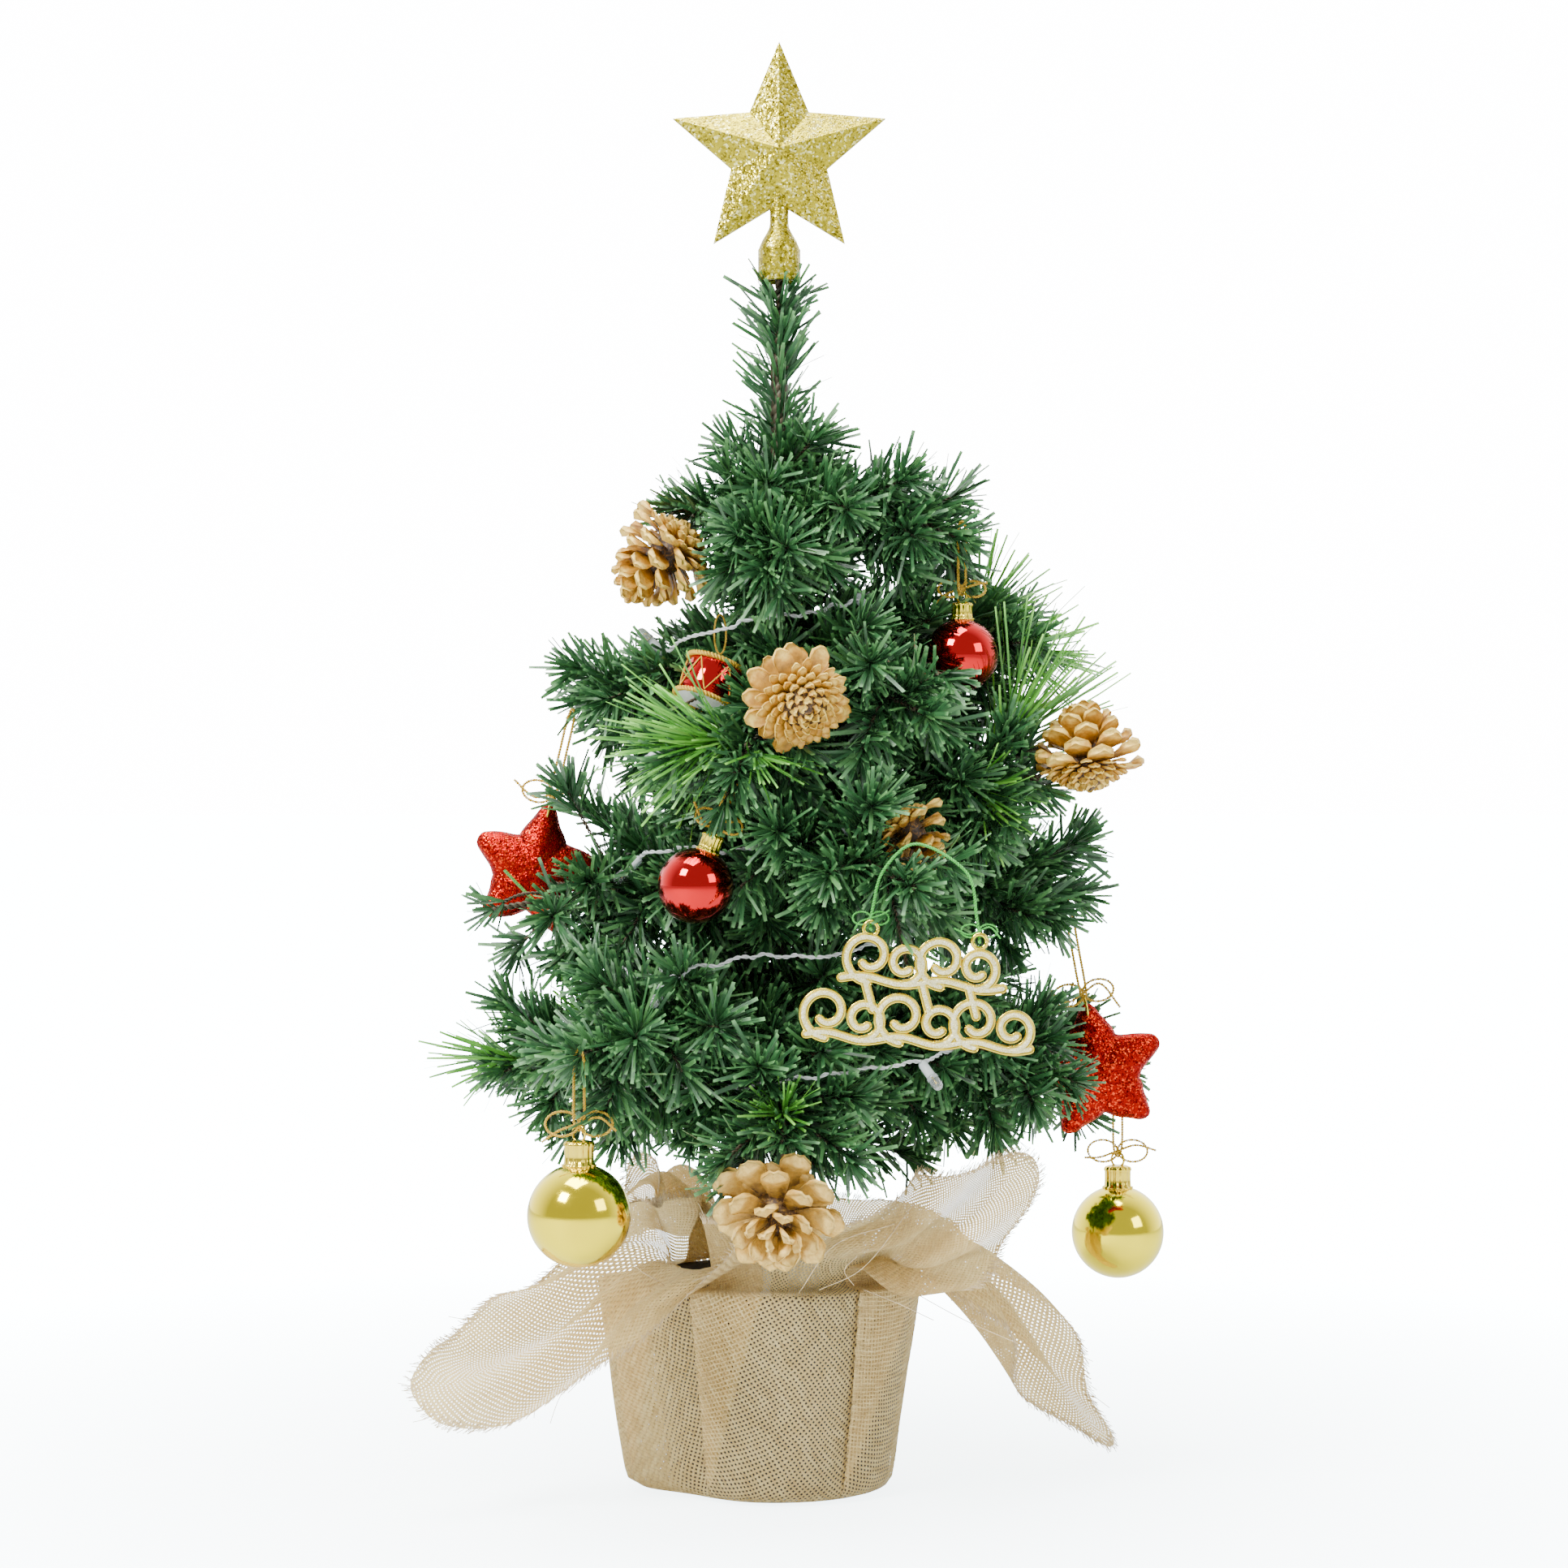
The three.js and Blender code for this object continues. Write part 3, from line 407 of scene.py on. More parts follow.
# ---- materials ----
class Nodes:
    """A short way to write the node tree of a material or of the world."""

    def __init__(self, block, shader="Principled BSDF"):
        block.use_nodes = True
        self.block, self.tree = block, block.node_tree
        self.shader = self.tree.nodes[shader]

    def node(self, kind, inputs=None, **settings):
        made = self.tree.nodes.new(kind)
        for key, value in settings.items():
            setattr(made, key, value)
        for key, value in (inputs or {}).items():
            self.put(made.inputs[key], value)
        return made

    def put(self, socket, value):
        if isinstance(value, bpy.types.NodeSocket):
            self.tree.links.new(value, socket)
        elif socket.type == "RGBA":
            socket.default_value = (*value, 1)
        else:
            socket.default_value = value

    def set(self, **values):
        for key, value in values.items():
            self.put(self.shader.inputs[key.replace("_", " ")], value)
        return self

    def math(self, operation, a, b=0.5, clamp=False):
        return self.node("ShaderNodeMath", {0: a, 1: b}, operation=operation, use_clamp=clamp).outputs[0]

    def vector(self, operation, a, b=None, scale=None):
        inputs = {key: value for key, value in ((0, a), (1, b), ("Scale", scale)) if value is not None}
        made = self.node("ShaderNodeVectorMath", inputs, operation=operation)
        return made.outputs["Value" if operation == "LENGTH" else "Vector"]

    def split(self, vector):
        return self.node("ShaderNodeSeparateXYZ", {"Vector": vector}).outputs

    def object_coords(self):
        return self.node("ShaderNodeTexCoord").outputs["Object"]

    def uv(self):
        return self.node("ShaderNodeUVMap", uv_map="UVMap").outputs["UV"]

    def attribute(self, name):
        return self.node("ShaderNodeAttribute", attribute_name=name).outputs["Fac"]

    def noise(self, scale, detail, roughness=0.55, vector=None, output="Fac"):
        vector = self.object_coords() if vector is None else vector
        inputs = {"Scale": scale, "Detail": detail, "Roughness": roughness, "Vector": vector}
        return self.node("ShaderNodeTexNoise", inputs).outputs[output]

    def ramp(self, fac, stops):
        made = self.node("ShaderNodeValToRGB", {"Fac": fac})
        elements = made.color_ramp.elements
        while len(elements) < len(stops):
            elements.new(0.5)
        for element, (place, color) in zip(elements, stops):
            element.position = place
            element.color = (*color, 1)
        return made.outputs["Color"]

    def blend(self, fac, a, b, kind="RGBA"):
        return self.node("ShaderNodeMix", {"Factor": fac, "A": a, "B": b}, data_type=kind).outputs["Result"]

    def scaled(self, fac, low, high, from_low=0.0, from_high=1.0):
        inputs = {"Value": fac, "From Min": from_low, "From Max": from_high, "To Min": low, "To Max": high}
        return self.node("ShaderNodeMapRange", inputs).outputs["Result"]

    def bump(self, height, distance, strength, normal=None):
        inputs = {"Height": height, "Distance": distance, "Strength": strength}
        if normal is not None:
            inputs["Normal"] = normal
        return self.node("ShaderNodeBump", inputs).outputs["Normal"]

    def seen(self, path):
        """1 where the camera sees it straight, less through each layer of open cloth, 0 for other rays."""
        veil = self.math("MULTIPLY", path["Transparent Depth"], CLOTH_VEIL)
        return self.math("SUBTRACT", path["Is Camera Ray"], veil, True)


def new_material(name):
    return Nodes(bpy.data.materials.new(name))


def needle_material(name, dark, mid, light, roughness):
    """PVC needles: each its own green, streaked along its length; painted highlight at the tip, painted shade
    at the root.
    """
    m = new_material(name)
    along = m.math("FRACT", m.split(m.uv())["Y"])
    streak = m.noise(6.0, 3, 0.5, m.vector("MULTIPLY", m.uv(), (1.0, 0.18, 1.0)))
    # painted highlight: the end of each needle is paler, as if its cut end caught the light
    tip_highlight = tuple(min(1, 1.9 * c + 0.03) for c in light)
    # painted shade: each needle darkens towards its root, in among the others
    shaded = tuple(0.45 * c for c in dark)
    base = m.ramp(m.attribute("tint"), [(0.0, dark), (0.55, mid), (1.0, light)])
    base = m.blend(m.scaled(streak, 0.0, 0.45, 0.4, 0.75), base, light)
    base = m.blend(m.scaled(along, 0.0, 0.55, 0.86, 1.0), base, tip_highlight)
    base = m.blend(m.scaled(along, 0.55, 0.0, 0.0, 0.35), base, shaded)
    m.set(Base_Color=base, Roughness=m.scaled(streak, roughness - 0.08, roughness + 0.14))
    return m.set(Specular_IOR_Level=0.55, Normal=m.bump(streak, 0.0003, 0.5)).block


def speckled_material(name, spots, stops, grain, bump, roughness, metallic=0.0):
    """A matt surface with spots of a few tones and a fine grain.

    Spots and grain are the noise's scale, detail and roughness; the bump is a distance and a strength."""
    m = new_material(name)
    spots = m.noise(*spots)
    m.set(Base_Color=m.ramp(spots, stops), Metallic=metallic)
    m.set(Roughness=m.scaled(spots, *roughness) if isinstance(roughness, tuple) else roughness)
    return m.set(Normal=m.bump(m.noise(*grain), *bump)).block


def glitter_material(name, dark, mid, bright, grain, metallic, tilt):
    """Glitter: grains of even size that each face their own way, some of them bright."""
    m = new_material(name)
    grains = m.node("ShaderNodeTexVoronoi", {"Scale": grain, "Vector": m.object_coords()}).outputs
    split = m.split(grains["Color"])
    color = m.ramp(split["X"], [(0.0, dark), (0.35, mid), (0.8, mid), (0.93, bright)])
    color = m.blend(m.scaled(m.noise(90, 2), 0.0, 0.35, 0.35, 0.7), color, dark)
    lean = m.vector("SCALE", m.vector("SUBTRACT", grains["Color"], (0.5, 0.5, 0.5)), scale=tilt)
    face = m.vector("ADD", m.node("ShaderNodeNewGeometry").outputs["Normal"], lean)
    m.set(Base_Color=color, Metallic=metallic, Roughness=m.scaled(split["Y"], 0.18, 0.42))
    return m.set(Normal=m.bump(grains["Distance"], 0.0002, 0.6, m.vector("NORMALIZE", face))).block


def foil_material(name, color, deep, roughness=0.06):
    """Vacuum-metallised plastic: a mirror with a faint ripple and small scuffs."""
    m = new_material(name)
    scuffs = m.noise(600, 6, 0.7)
    m.set(Base_Color=m.blend(m.scaled(m.noise(25, 2), 0.0, 0.5, 0.4, 0.7), color, deep), Metallic=1.0)
    m.set(Roughness=m.scaled(scuffs, roughness, roughness + 0.12, 0.55, 0.75))
    m.set(Coat_Weight=0.35, Coat_Roughness=0.04)
    return m.set(Normal=m.bump(m.noise(120, 2), 0.0004, 0.06)).block


def thread_material(name, color, shade, metallic):
    """Spun thread: its twist shows as slanting ribs, with painted shade in the grooves between them."""
    m = new_material(name)
    inputs = {"Scale": 3.0, "Distortion": 0.4, "Vector": m.uv()}
    ribs = m.node("ShaderNodeTexWave", inputs, wave_type="BANDS", bands_direction="DIAGONAL").outputs["Fac"]
    # painted shade: the shade colour lies in the low grooves, the full colour on the ribs' crowns
    m.set(Base_Color=m.ramp(ribs, [(0.1, shade), (0.7, color)]), Metallic=metallic)
    return m.set(Roughness=m.scaled(ribs, 0.55, 0.32), Normal=m.bump(ribs, 0.0002, 0.5)).block


def cone_material(name, root, middle, tip):
    """A pine scale brushed with gold: dark at its root, orange brown along it, pale gold at its thick end."""
    m = new_material(name)
    grain = m.noise(900, 5)
    blotch = m.noise(260, 3)
    place = m.math("ADD", m.attribute("tint"), m.scaled(blotch, -0.16, 0.16, 0.3, 0.7))
    color = m.ramp(place, [(0.12, root), (0.52, middle), (0.80, tip)])
    color = m.blend(m.scaled(grain, 0.0, 0.55, 0.5, 0.75), color, middle)
    gilt = m.scaled(place, 0.0, 0.45, 0.5, 0.9)
    m.set(Base_Color=color, Metallic=gilt, Roughness=m.scaled(grain, 0.34, 0.6))
    return m.set(Normal=m.bump(grain, 0.0004, 0.7)).block


def weave_place(m):
    """The place on the cloth counted in threads, with the slight sway that the weave has."""
    inputs = {"Vector": m.uv(), "Angle": math.radians(WEAVE_TURN)}
    place = m.node("ShaderNodeVectorRotate", inputs, rotation_type="Z_AXIS").outputs[0]
    place = m.vector("SCALE", place, scale=1 / WEAVE_PITCH)
    sway = m.vector("SUBTRACT", m.noise(0.1, 3, 0.5, place, "Color"), (0.5, 0.5, 0.5))
    return m.vector("ADD", place, m.vector("SCALE", sway, scale=1.4))


def thread_set(m, across, along, over):
    """The warp or the weft: where it covers, how high it stands and how uneven each thread is."""
    inputs = {"X": m.math("FLOOR", across), "Y": m.math("MULTIPLY", along, 0.12)}
    uneven = m.noise(1.7, 2, 0.5, m.node("ShaderNodeCombineXYZ", inputs).outputs[0])
    wider = m.scaled(m.attribute("tint"), 0.0, 0.14, TINT_OPEN, TINT_CLOSED)
    width = m.math("ADD", m.scaled(uneven, 0.25, 0.32, 0.3, 0.7), wider)
    distance = m.math("ABSOLUTE", m.math("SUBTRACT", m.math("FRACT", across), 0.5))
    bulge = m.math("POWER", m.math("DIVIDE", distance, width, True), 2.0)
    bulge = m.math("SUBTRACT", 1.0, bulge, True)
    height = m.math("MULTIPLY", bulge, m.math("ADD", m.math("MULTIPLY", over, 0.6), 0.5))
    return m.math("LESS_THAN", distance, width), height, uneven


def burlap_material():
    """Open plain weave: warp and weft of uneven thread that pass over and under, with holes between."""
    m = new_material("burlap_weave")
    place = weave_place(m)
    split = m.split(place)
    x, y = split["X"], split["Y"]
    parity = m.math("ADD", m.math("FLOOR", x), m.math("FLOOR", y))
    parity = m.math("MODULO", m.math("ABSOLUTE", parity), 2.0)
    warp, warp_height, uneven = thread_set(m, x, y, parity)
    weft, weft_height, _ = thread_set(m, y, x, m.math("SUBTRACT", 1.0, parity))
    cover = m.math("MAXIMUM", warp, weft)
    height = m.math("MAXIMUM", warp_height, weft_height)
    fibre = m.noise(5.0, 4, 0.5, place)
    shade = m.math("ADD", m.math("MULTIPLY", uneven, 0.5), m.math("MULTIPLY", fibre, 0.5))
    tone = m.ramp(shade, [(0.3, (0.50, 0.35, 0.14)), (0.5, (0.76, 0.59, 0.26)), (0.7, (0.93, 0.79, 0.41))])
    # painted shade: dark brown where a thread sinks low, at its sides and where it passes under the other
    tone = m.blend(m.scaled(height, 0.5, 0.0, 0.0, 0.8), tone, (0.24, 0.13, 0.03))
    m.set(Base_Color=tone, Roughness=0.85, Specular_IOR_Level=0.25, Sheen_Weight=0.1)
    m.set(Normal=m.bump(m.math("ADD", height, m.math("MULTIPLY", fibre, 0.25)), 0.0006, 0.8))
    through = m.node("ShaderNodeBsdfTranslucent", {"Color": m.blend(0.6, tone, (1.0, 0.78, 0.38))})
    threads = m.node("ShaderNodeMixShader", {0: 0.42, 1: m.shader.outputs[0], 2: through.outputs[0]})
    holes = m.node("ShaderNodeBsdfTransparent")
    cloth = m.node("ShaderNodeMixShader", {0: cover, 1: holes.outputs[0], 2: threads.outputs[0]})
    m.put(m.tree.nodes["Material Output"].inputs["Surface"], cloth.outputs[0])
    return m.block


def plastic_material(name, color, shade, roughness):
    """Moulded plastic with a fine spark-eroded grain and slight wear."""
    m = new_material(name)
    m.set(Base_Color=m.blend(m.scaled(m.noise(60, 5), 0.0, 0.6, 0.45, 0.75), color, shade))
    m.set(Roughness=m.scaled(m.noise(900, 3), roughness - 0.08, roughness + 0.1))
    return m.set(Normal=m.bump(m.noise(900, 3), 0.00015, 0.5)).block


def clear_material(name, tone, roughness, transmission):
    """Clear or milky vinyl, with the faint flow lines of extruded plastic."""
    m = new_material(name)
    flow = m.noise(220, 3)
    m.set(Base_Color=m.blend(m.scaled(flow, 0.0, 0.35, 0.4, 0.7), tone, tuple(0.75 * c for c in tone)))
    m.set(Roughness=m.scaled(flow, roughness, roughness + 0.1), Transmission_Weight=transmission, IOR=1.48)
    return m.set(Normal=m.bump(flow, 0.0002, 0.2)).block


def floor_material():
    """White paper that glows where it is looked at, and runs into the white backdrop away from the object."""
    m = new_material("studio_white")
    path = m.node("ShaderNodeLightPath").outputs
    paper = m.ramp(m.noise(3, 2), [(0.3, (0.90, 0.925, 0.93)), (0.7, (0.92, 0.945, 0.95))])
    # painted reflection: glossy rays see the floor as dark grey, so it shows dimmer in reflections
    mirrored = m.math("MULTIPLY", path["Is Glossy Ray"], 0.6)
    m.set(Base_Color=m.blend(mirrored, paper, (0.32, 0.33, 0.33)), Roughness=0.6)
    # painted shade: the cool glow is weaker close to the object, so the floor is greyer round it
    away = m.scaled(m.vector("LENGTH", m.object_coords()), 0.0, 1.0, 0.08, 0.7)
    glow = m.scaled(m.math("POWER", away, 1.5), FLOOR_WHITE, BACKDROP_WHITE)
    m.set(Emission_Strength=m.math("MAXIMUM", m.math("MULTIPLY", m.seen(path), glow), 0.25))
    return m.set(Emission_Color=(0.86, 0.97, 1.0)).block


NEEDLES = needle_material(
    "pvc_needles", (0.004, 0.026, 0.010), (0.016, 0.085, 0.025), (0.085, 0.23, 0.068), 0.36)
LONG_NEEDLES = needle_material(
    "long_needles", (0.012, 0.09, 0.010), (0.055, 0.27, 0.020), (0.20, 0.52, 0.07), 0.34)
WIRE = speckled_material(  # florist's wire, brownish green, dull and scuffed
    "twisted_wire", (300, 4),
    [(0.3, (0.022, 0.035, 0.018)), (0.6, (0.07, 0.05, 0.025)), (0.8, (0.13, 0.09, 0.05))],
    (1800, 2), (0.0001, 0.6), (0.4, 0.65), 0.35)
GOLD_GLITTER = glitter_material(
    "gold_glitter", (0.12, 0.09, 0.001), (0.46, 0.38, 0.012), (1.0, 0.94, 0.34), 1200, 0.85, 0.3)
RED_GLITTER = glitter_material(
    "red_glitter", (0.10, 0.0004, 0.0002), (0.34, 0.0016, 0.0004), (0.95, 0.07, 0.01), 1500, 0.96, 0.45)
PALE_GLITTER = glitter_material(
    "pale_gold_glitter", (0.52, 0.46, 0.18), (0.80, 0.74, 0.38), (1.0, 0.98, 0.80), 2200, 0.45, 0.6)
RED_FOIL = foil_material("red_foil", (0.66, 0.002, 0.005), (0.46, 0.001, 0.003))
GOLD_FOIL = foil_material("gold_foil", (1.0, 0.82, 0.0), (0.88, 0.64, 0.0), 0.10)
GOLD_BRIGHT = foil_material("gold_plating", (0.92, 0.70, 0.05), (0.72, 0.48, 0.02), 0.14)
# each thread's second colour is the painted shade in the grooves of its twist
GOLD_THREAD = thread_material("gold_thread", (0.86, 0.58, 0.06), (0.45, 0.25, 0.02), 0.45)
GREEN_THREAD = thread_material("green_thread", (0.12, 0.62, 0.10), (0.03, 0.28, 0.03), 0.1)
CONE_GILT = cone_material("gilded_cone", (0.030, 0.012, 0.002), (0.49, 0.23, 0.015), (0.87, 0.61, 0.13))
CONE_PALE = cone_material("pale_cone", (0.06, 0.025, 0.003), (0.56, 0.31, 0.04), (0.82, 0.57, 0.16))
BURLAP = burlap_material()
FRAY = speckled_material(
    "burlap_fray", (400, 3), [(0.3, (0.50, 0.36, 0.18)), (0.7, (0.82, 0.67, 0.42))],
    (3000, 2), (0.0001, 0.5), 0.9)
DARK_PLASTIC = plastic_material("dark_plastic", (0.040, 0.036, 0.024), (0.07, 0.06, 0.04), 0.5)
WHITE_PLASTIC = plastic_material("white_plastic", (0.80, 0.80, 0.77), (0.66, 0.66, 0.62), 0.4)
CLEAR_WIRE = clear_material("clear_wire", (0.96, 1.0, 1.0), 0.05, 0.6)
LED_SLEEVE = clear_material("led_sleeve", (0.90, 0.98, 0.98), 0.25, 0.5)
LED_LENS = clear_material("led_lens", (0.92, 0.96, 0.97), 0.04, 0.85)
CEMENT = speckled_material(
    "cement", (500, 6, 0.7), [(0.3, (0.22, 0.22, 0.2)), (0.55, (0.42, 0.42, 0.39)), (0.8, (0.6, 0.6, 0.57))],
    (260, 6, 0.75), (0.0012, 0.9), 0.92)
DRUM_HEAD = plastic_material("drum_head", (0.86, 0.85, 0.80), (0.72, 0.70, 0.62), 0.35)


# ---- camera, light and floor ----
def add_camera():
    data = bpy.data.cameras.new("camera")
    data.lens, data.sensor_width = CAMERA["lens_mm"], CAMERA["sensor_mm"]
    camera = add_to_scene(bpy.data.objects.new("camera", data))
    camera.location = (CAMERA["x"] * MM, -CAMERA["distance"] * MM, CAMERA["height"] * MM)
    camera.rotation_euler = (math.radians(90), 0, 0)
    bpy.context.scene.camera = camera


def add_area(name, at, look_at, size, watts):
    data = bpy.data.lights.new(name, "AREA")
    data.shape, data.size, data.energy = "SQUARE", size, watts
    light = add_to_scene(bpy.data.objects.new(name, data))
    light.location = at
    light.rotation_euler = (Vector((0, 0, look_at)) - Vector(at)).to_track_quat("-Z", "Y").to_euler()


def white_world():
    """A white surround: bright behind the object, dimmer on the camera's side, plain white where seen."""
    world = bpy.data.worlds.new("studio")
    m = Nodes(world, "Background")
    depth = m.split(m.node("ShaderNodeTexCoord").outputs["Generated"])["Y"]
    lit = m.scaled(depth, 0.65, 3.0, -0.3, 0.75)
    seen = m.seen(m.node("ShaderNodeLightPath").outputs)
    m.set(Color=(0.98, 0.99, 1.0), Strength=m.blend(seen, lit, BACKDROP_WHITE, "FLOAT"))
    bpy.context.scene.world = world


def add_studio():
    white_world()
    for name, facts in LIGHTS.items():
        add_area(name, *facts)
    s = FLOOR_SIZE
    mesh = bpy.data.meshes.new("floor")
    mesh.from_pydata([(-s, -s, 0), (s, -s, 0), (s, s, 0), (-s, s, 0)], [], [(0, 1, 2, 3)])
    mesh.materials.append(floor_material())
    floor = add_to_scene(bpy.data.objects.new("floor", mesh))
    floor.location.z = -0.0005


# ---- needles, stems and branches ----
def clear_zones():
    """Spheres that needles keep out of, round what hangs or nestles in them: centres and radii in metres."""
    spheres = [(0, 0, TOPPER["socket"] + 13, 11)]

    def clear(centre, size, balls):
        spheres.extend((*(centre + size * np.array(shift)), size * r) for *shift, r in balls)

    for name, r in BAUBLES.items():
        clear(box_centre(name) / MM, r, BALL_CLEAR + (SMALL_BALL_CLEAR if name.startswith("red") else []))
    for name, r in RED_STARS.items():
        clear(box_centre(name) / MM, r, STAR_CLEAR)
    for name, facts in CONES.items():
        clear(box_centre(name) / MM, facts["d"], CONE_CLEAR)
    clear(np.array(PLAQUE["at"]), 1, [(x, -5, z, 11) for x in range(-40, 41, 10) for z in (4, -12, -24)])
    clear(box_centre("drum") / MM, 1, [(-4, -8, 0, 15)])
    spheres = np.array(spheres) * MM
    return spheres[:, :3], spheres[:, 3]


ZONES = clear_zones()


def sprout_needles(rng, path, count, length, width, lean, bend, taper):
    """Where needles spring from round a stem, how far each reaches, its width and its bow, clear of ZONES."""
    path = np.asarray(path, float)
    tangents, side, up = frames_along(path)
    s = rng.uniform(0, len(path) - 1.001, count)
    i, t = s.astype(int), (s % 1)[:, None]
    root = mix(path[i], path[i + 1], t)
    around = rng.uniform(0, TURN, count)[:, None]
    radial = np.cos(around) * side[i] + np.sin(around) * up[i]
    tilt = np.radians(rng.uniform(*lean, count))[:, None]
    along = units(np.cos(tilt) * tangents[i] + np.sin(tilt) * radial + rng.normal(0, 0.12, (count, 3)))
    spin = rng.uniform(0, math.pi, count)[:, None]
    across = units(np.cross(along, radial))
    across = np.cos(spin) * across + np.sin(spin) * np.cross(along, across)
    long = rng.uniform(*length, count)[:, None] * MM * (1 - taper * (s / (len(path) - 1)))[:, None]
    wide = rng.uniform(*width, count)[:, None] * MM
    bow = np.cross(along, across) * (rng.normal(0, bend, count)[:, None] * long)
    reach = along * long
    free = np.ones(count, bool)
    for share in (0.0, 0.5, 1.0):
        point = root + reach * share
        free &= (np.linalg.norm(point[:, None] - ZONES[0][None], axis=2) > ZONES[1][None]).all(1)
    return root[free], reach[free], (across * wide)[free], bow[free]


def add_needles(bits, rng, path, count, length=NEEDLE["length"], width=NEEDLE["width"], lean=(28, 62),
                bend=0.14, taper=0.0, segments=2):
    """Flat strips that spring from all round a stem, leaning towards its tip."""
    root, reach, wide, bow = sprout_needles(rng, path, count, length, width, lean, bend, taper)
    count = len(root)
    if not count:
        return
    rows = []
    for k in range(segments + 1):
        f = k / segments
        centre = root + reach * f + bow * f * f
        half = wide * 0.5 * (NEEDLE_ENDS[0] if k == 0 else 1.0 if k < segments else NEEDLE_ENDS[1])
        rows += [centre - half, centre + half]
    per = len(rows)
    strip = [(2 * k, 2 * k + 1, 2 * k + 3, 2 * k + 2) for k in range(segments)]
    faces = (np.arange(count)[:, None, None] * per + np.array(strip)).reshape(-1, 4)
    # each needle has its own stretch of the streaks, and 0 to 1 along it past a whole number
    offset = rng.integers(0, 400, count)[:, None]
    corner = np.arange(per)
    uv = points(offset + corner % 2, offset + np.minimum(0.999, corner // 2 / segments))
    tint = np.repeat(np.clip(rng.normal(0.5, 0.24, count), 0, 1), per)
    bits.add(np.stack(rows, 1), faces, uv, tint)


def stem_path(root, direction, length, rise, n=14):
    """A stem that starts along a direction and lifts or droops towards its tip."""
    t = np.linspace(0, 1, n)[:, None]
    return np.asarray(root) + np.asarray(direction) * length * t + Z_AXIS * rise * t * t


def branch_axis(body):
    """The root of a branch on the trunk and the level direction it grows in, from its joint."""
    joint = joint_of(body)
    ax, ay, _ = joint["axis"]
    return np.array(joint["pos_m"], float), np.array([-ay, ax, 0.0])


def at_share(path, share):
    return path[int(share * (len(path) - 1))]


def way_of(axes, parts):
    """A direction from its parts ahead, across and up on a branch."""
    return unit(sum(axis * part for axis, part in zip(axes, parts)))


def add_twig(green, wood, rng, start, sprout, reach, rise=0.002):
    """A short side twig: its wire and its needles."""
    twig = stem_path(start, sprout, reach * MM, rise, 7)
    twisted(wood, twig, "twig", sides=4)
    add_needles(green, rng, twig, int(NEEDLE["per_mm"] * reach), taper=0.2)
    add_needles(green, rng, twig[-2:], 14, (11, 17), lean=TIP_LEAN)


def wire_cone(wood, cone, main):
    """The wire that ties a cone to its branch."""
    end = box_centre(cone)
    start = main[int(np.argmin(np.linalg.norm(main[3:] - end, axis=1))) + 3]
    tie = curve_through([start, mix(start, end, 0.5) + (0, 0, 0.003), end], 12)
    twisted(wood, tie, "tie", sides=4)


def build_branch(name, pitch, length, twigs, droop):
    body = f"branch_{name}"
    rng = seeded("needles " + name[::-1] + name)
    root, level = branch_axis(body)
    tilt = math.radians(pitch)
    direction = unit(level * math.cos(tilt) + Z_AXIS * math.sin(tilt))
    main = stem_path(root + direction * 4 * MM, direction, (length - 4) * MM, -droop * MM)
    across = unit(np.cross(direction, Z_AXIS))
    lift = np.cross(across, direction)
    axes = direction, across, lift
    green, wood = Bits(), Bits()
    twisted(wood, main, "branch")
    add_needles(green, rng, main[1:], int(NEEDLE["per_mm"] * length), taper=0.3)
    add_needles(green, rng, main[-3:], 26, (9, 14), lean=TIP_LEAN)
    first = rng.uniform(0, 6)
    for k in range(twigs):
        place = mix(*TWIG_PLACES, k / max(1, twigs - 1))
        a = first + GOLDEN_ANGLE * k
        ahead, spread = rng.uniform(0.45, 0.8), rng.uniform(0.8, 1.1)
        sprout = unit(direction * ahead + spread * (across * math.cos(a) + 0.6 * lift * math.sin(a)))
        reach = mix(*TWIG_LENGTHS, place) * rng.uniform(0.8, 1.15) * min(1, length / FULL_BRANCH)
        add_twig(green, wood, rng, at_share(main, place), sprout, reach, rng.uniform(-0.012, 0.002))
    for place, way, reach in BOUGHS.get(name, []):
        add_twig(green, wood, rng, at_share(main, place), way_of(axes, way), reach)
    for cone, facts in CONES.items():
        if facts["body"] == body:
            wire_cone(wood, cone, main)
    green.piece(f"{body}_needles", NEEDLES, body, "needles", smooth_faces=False)
    wood.piece(f"{body}_wire", WIRE, body, "green_wire", replaces=[body])
    if name in SPRIGS:
        build_sprigs(name, body, main, axes, rng)


def build_sprigs(name, body, main, axes, rng):
    """Tufts of long thin needles tied in among the short ones."""
    bits = Bits()
    for place, way, size, count in SPRIGS[name]:
        stem = stem_path(at_share(main, place), way_of(axes, way), 20 * MM * size, 0.001, 6)
        tube(bits, stem, 0.7 * MM, 6, tint=0.1)
        length = tuple(x * size for x in LONG_NEEDLE["length"])
        add_needles(bits, rng, stem[1:], count, length, LONG_NEEDLE["width"], LONG_NEEDLE["lean"],
                    bend=0.1, segments=4)
    bits.piece(f"{body}_long_needles", LONG_NEEDLES, body, "needles", smooth_faces=False)


def upright(stretch, n):
    """A path of n points straight up a stretch of the trunk."""
    return points(0.0, 0.0, np.linspace(*TRUNK[stretch], n) * MM)


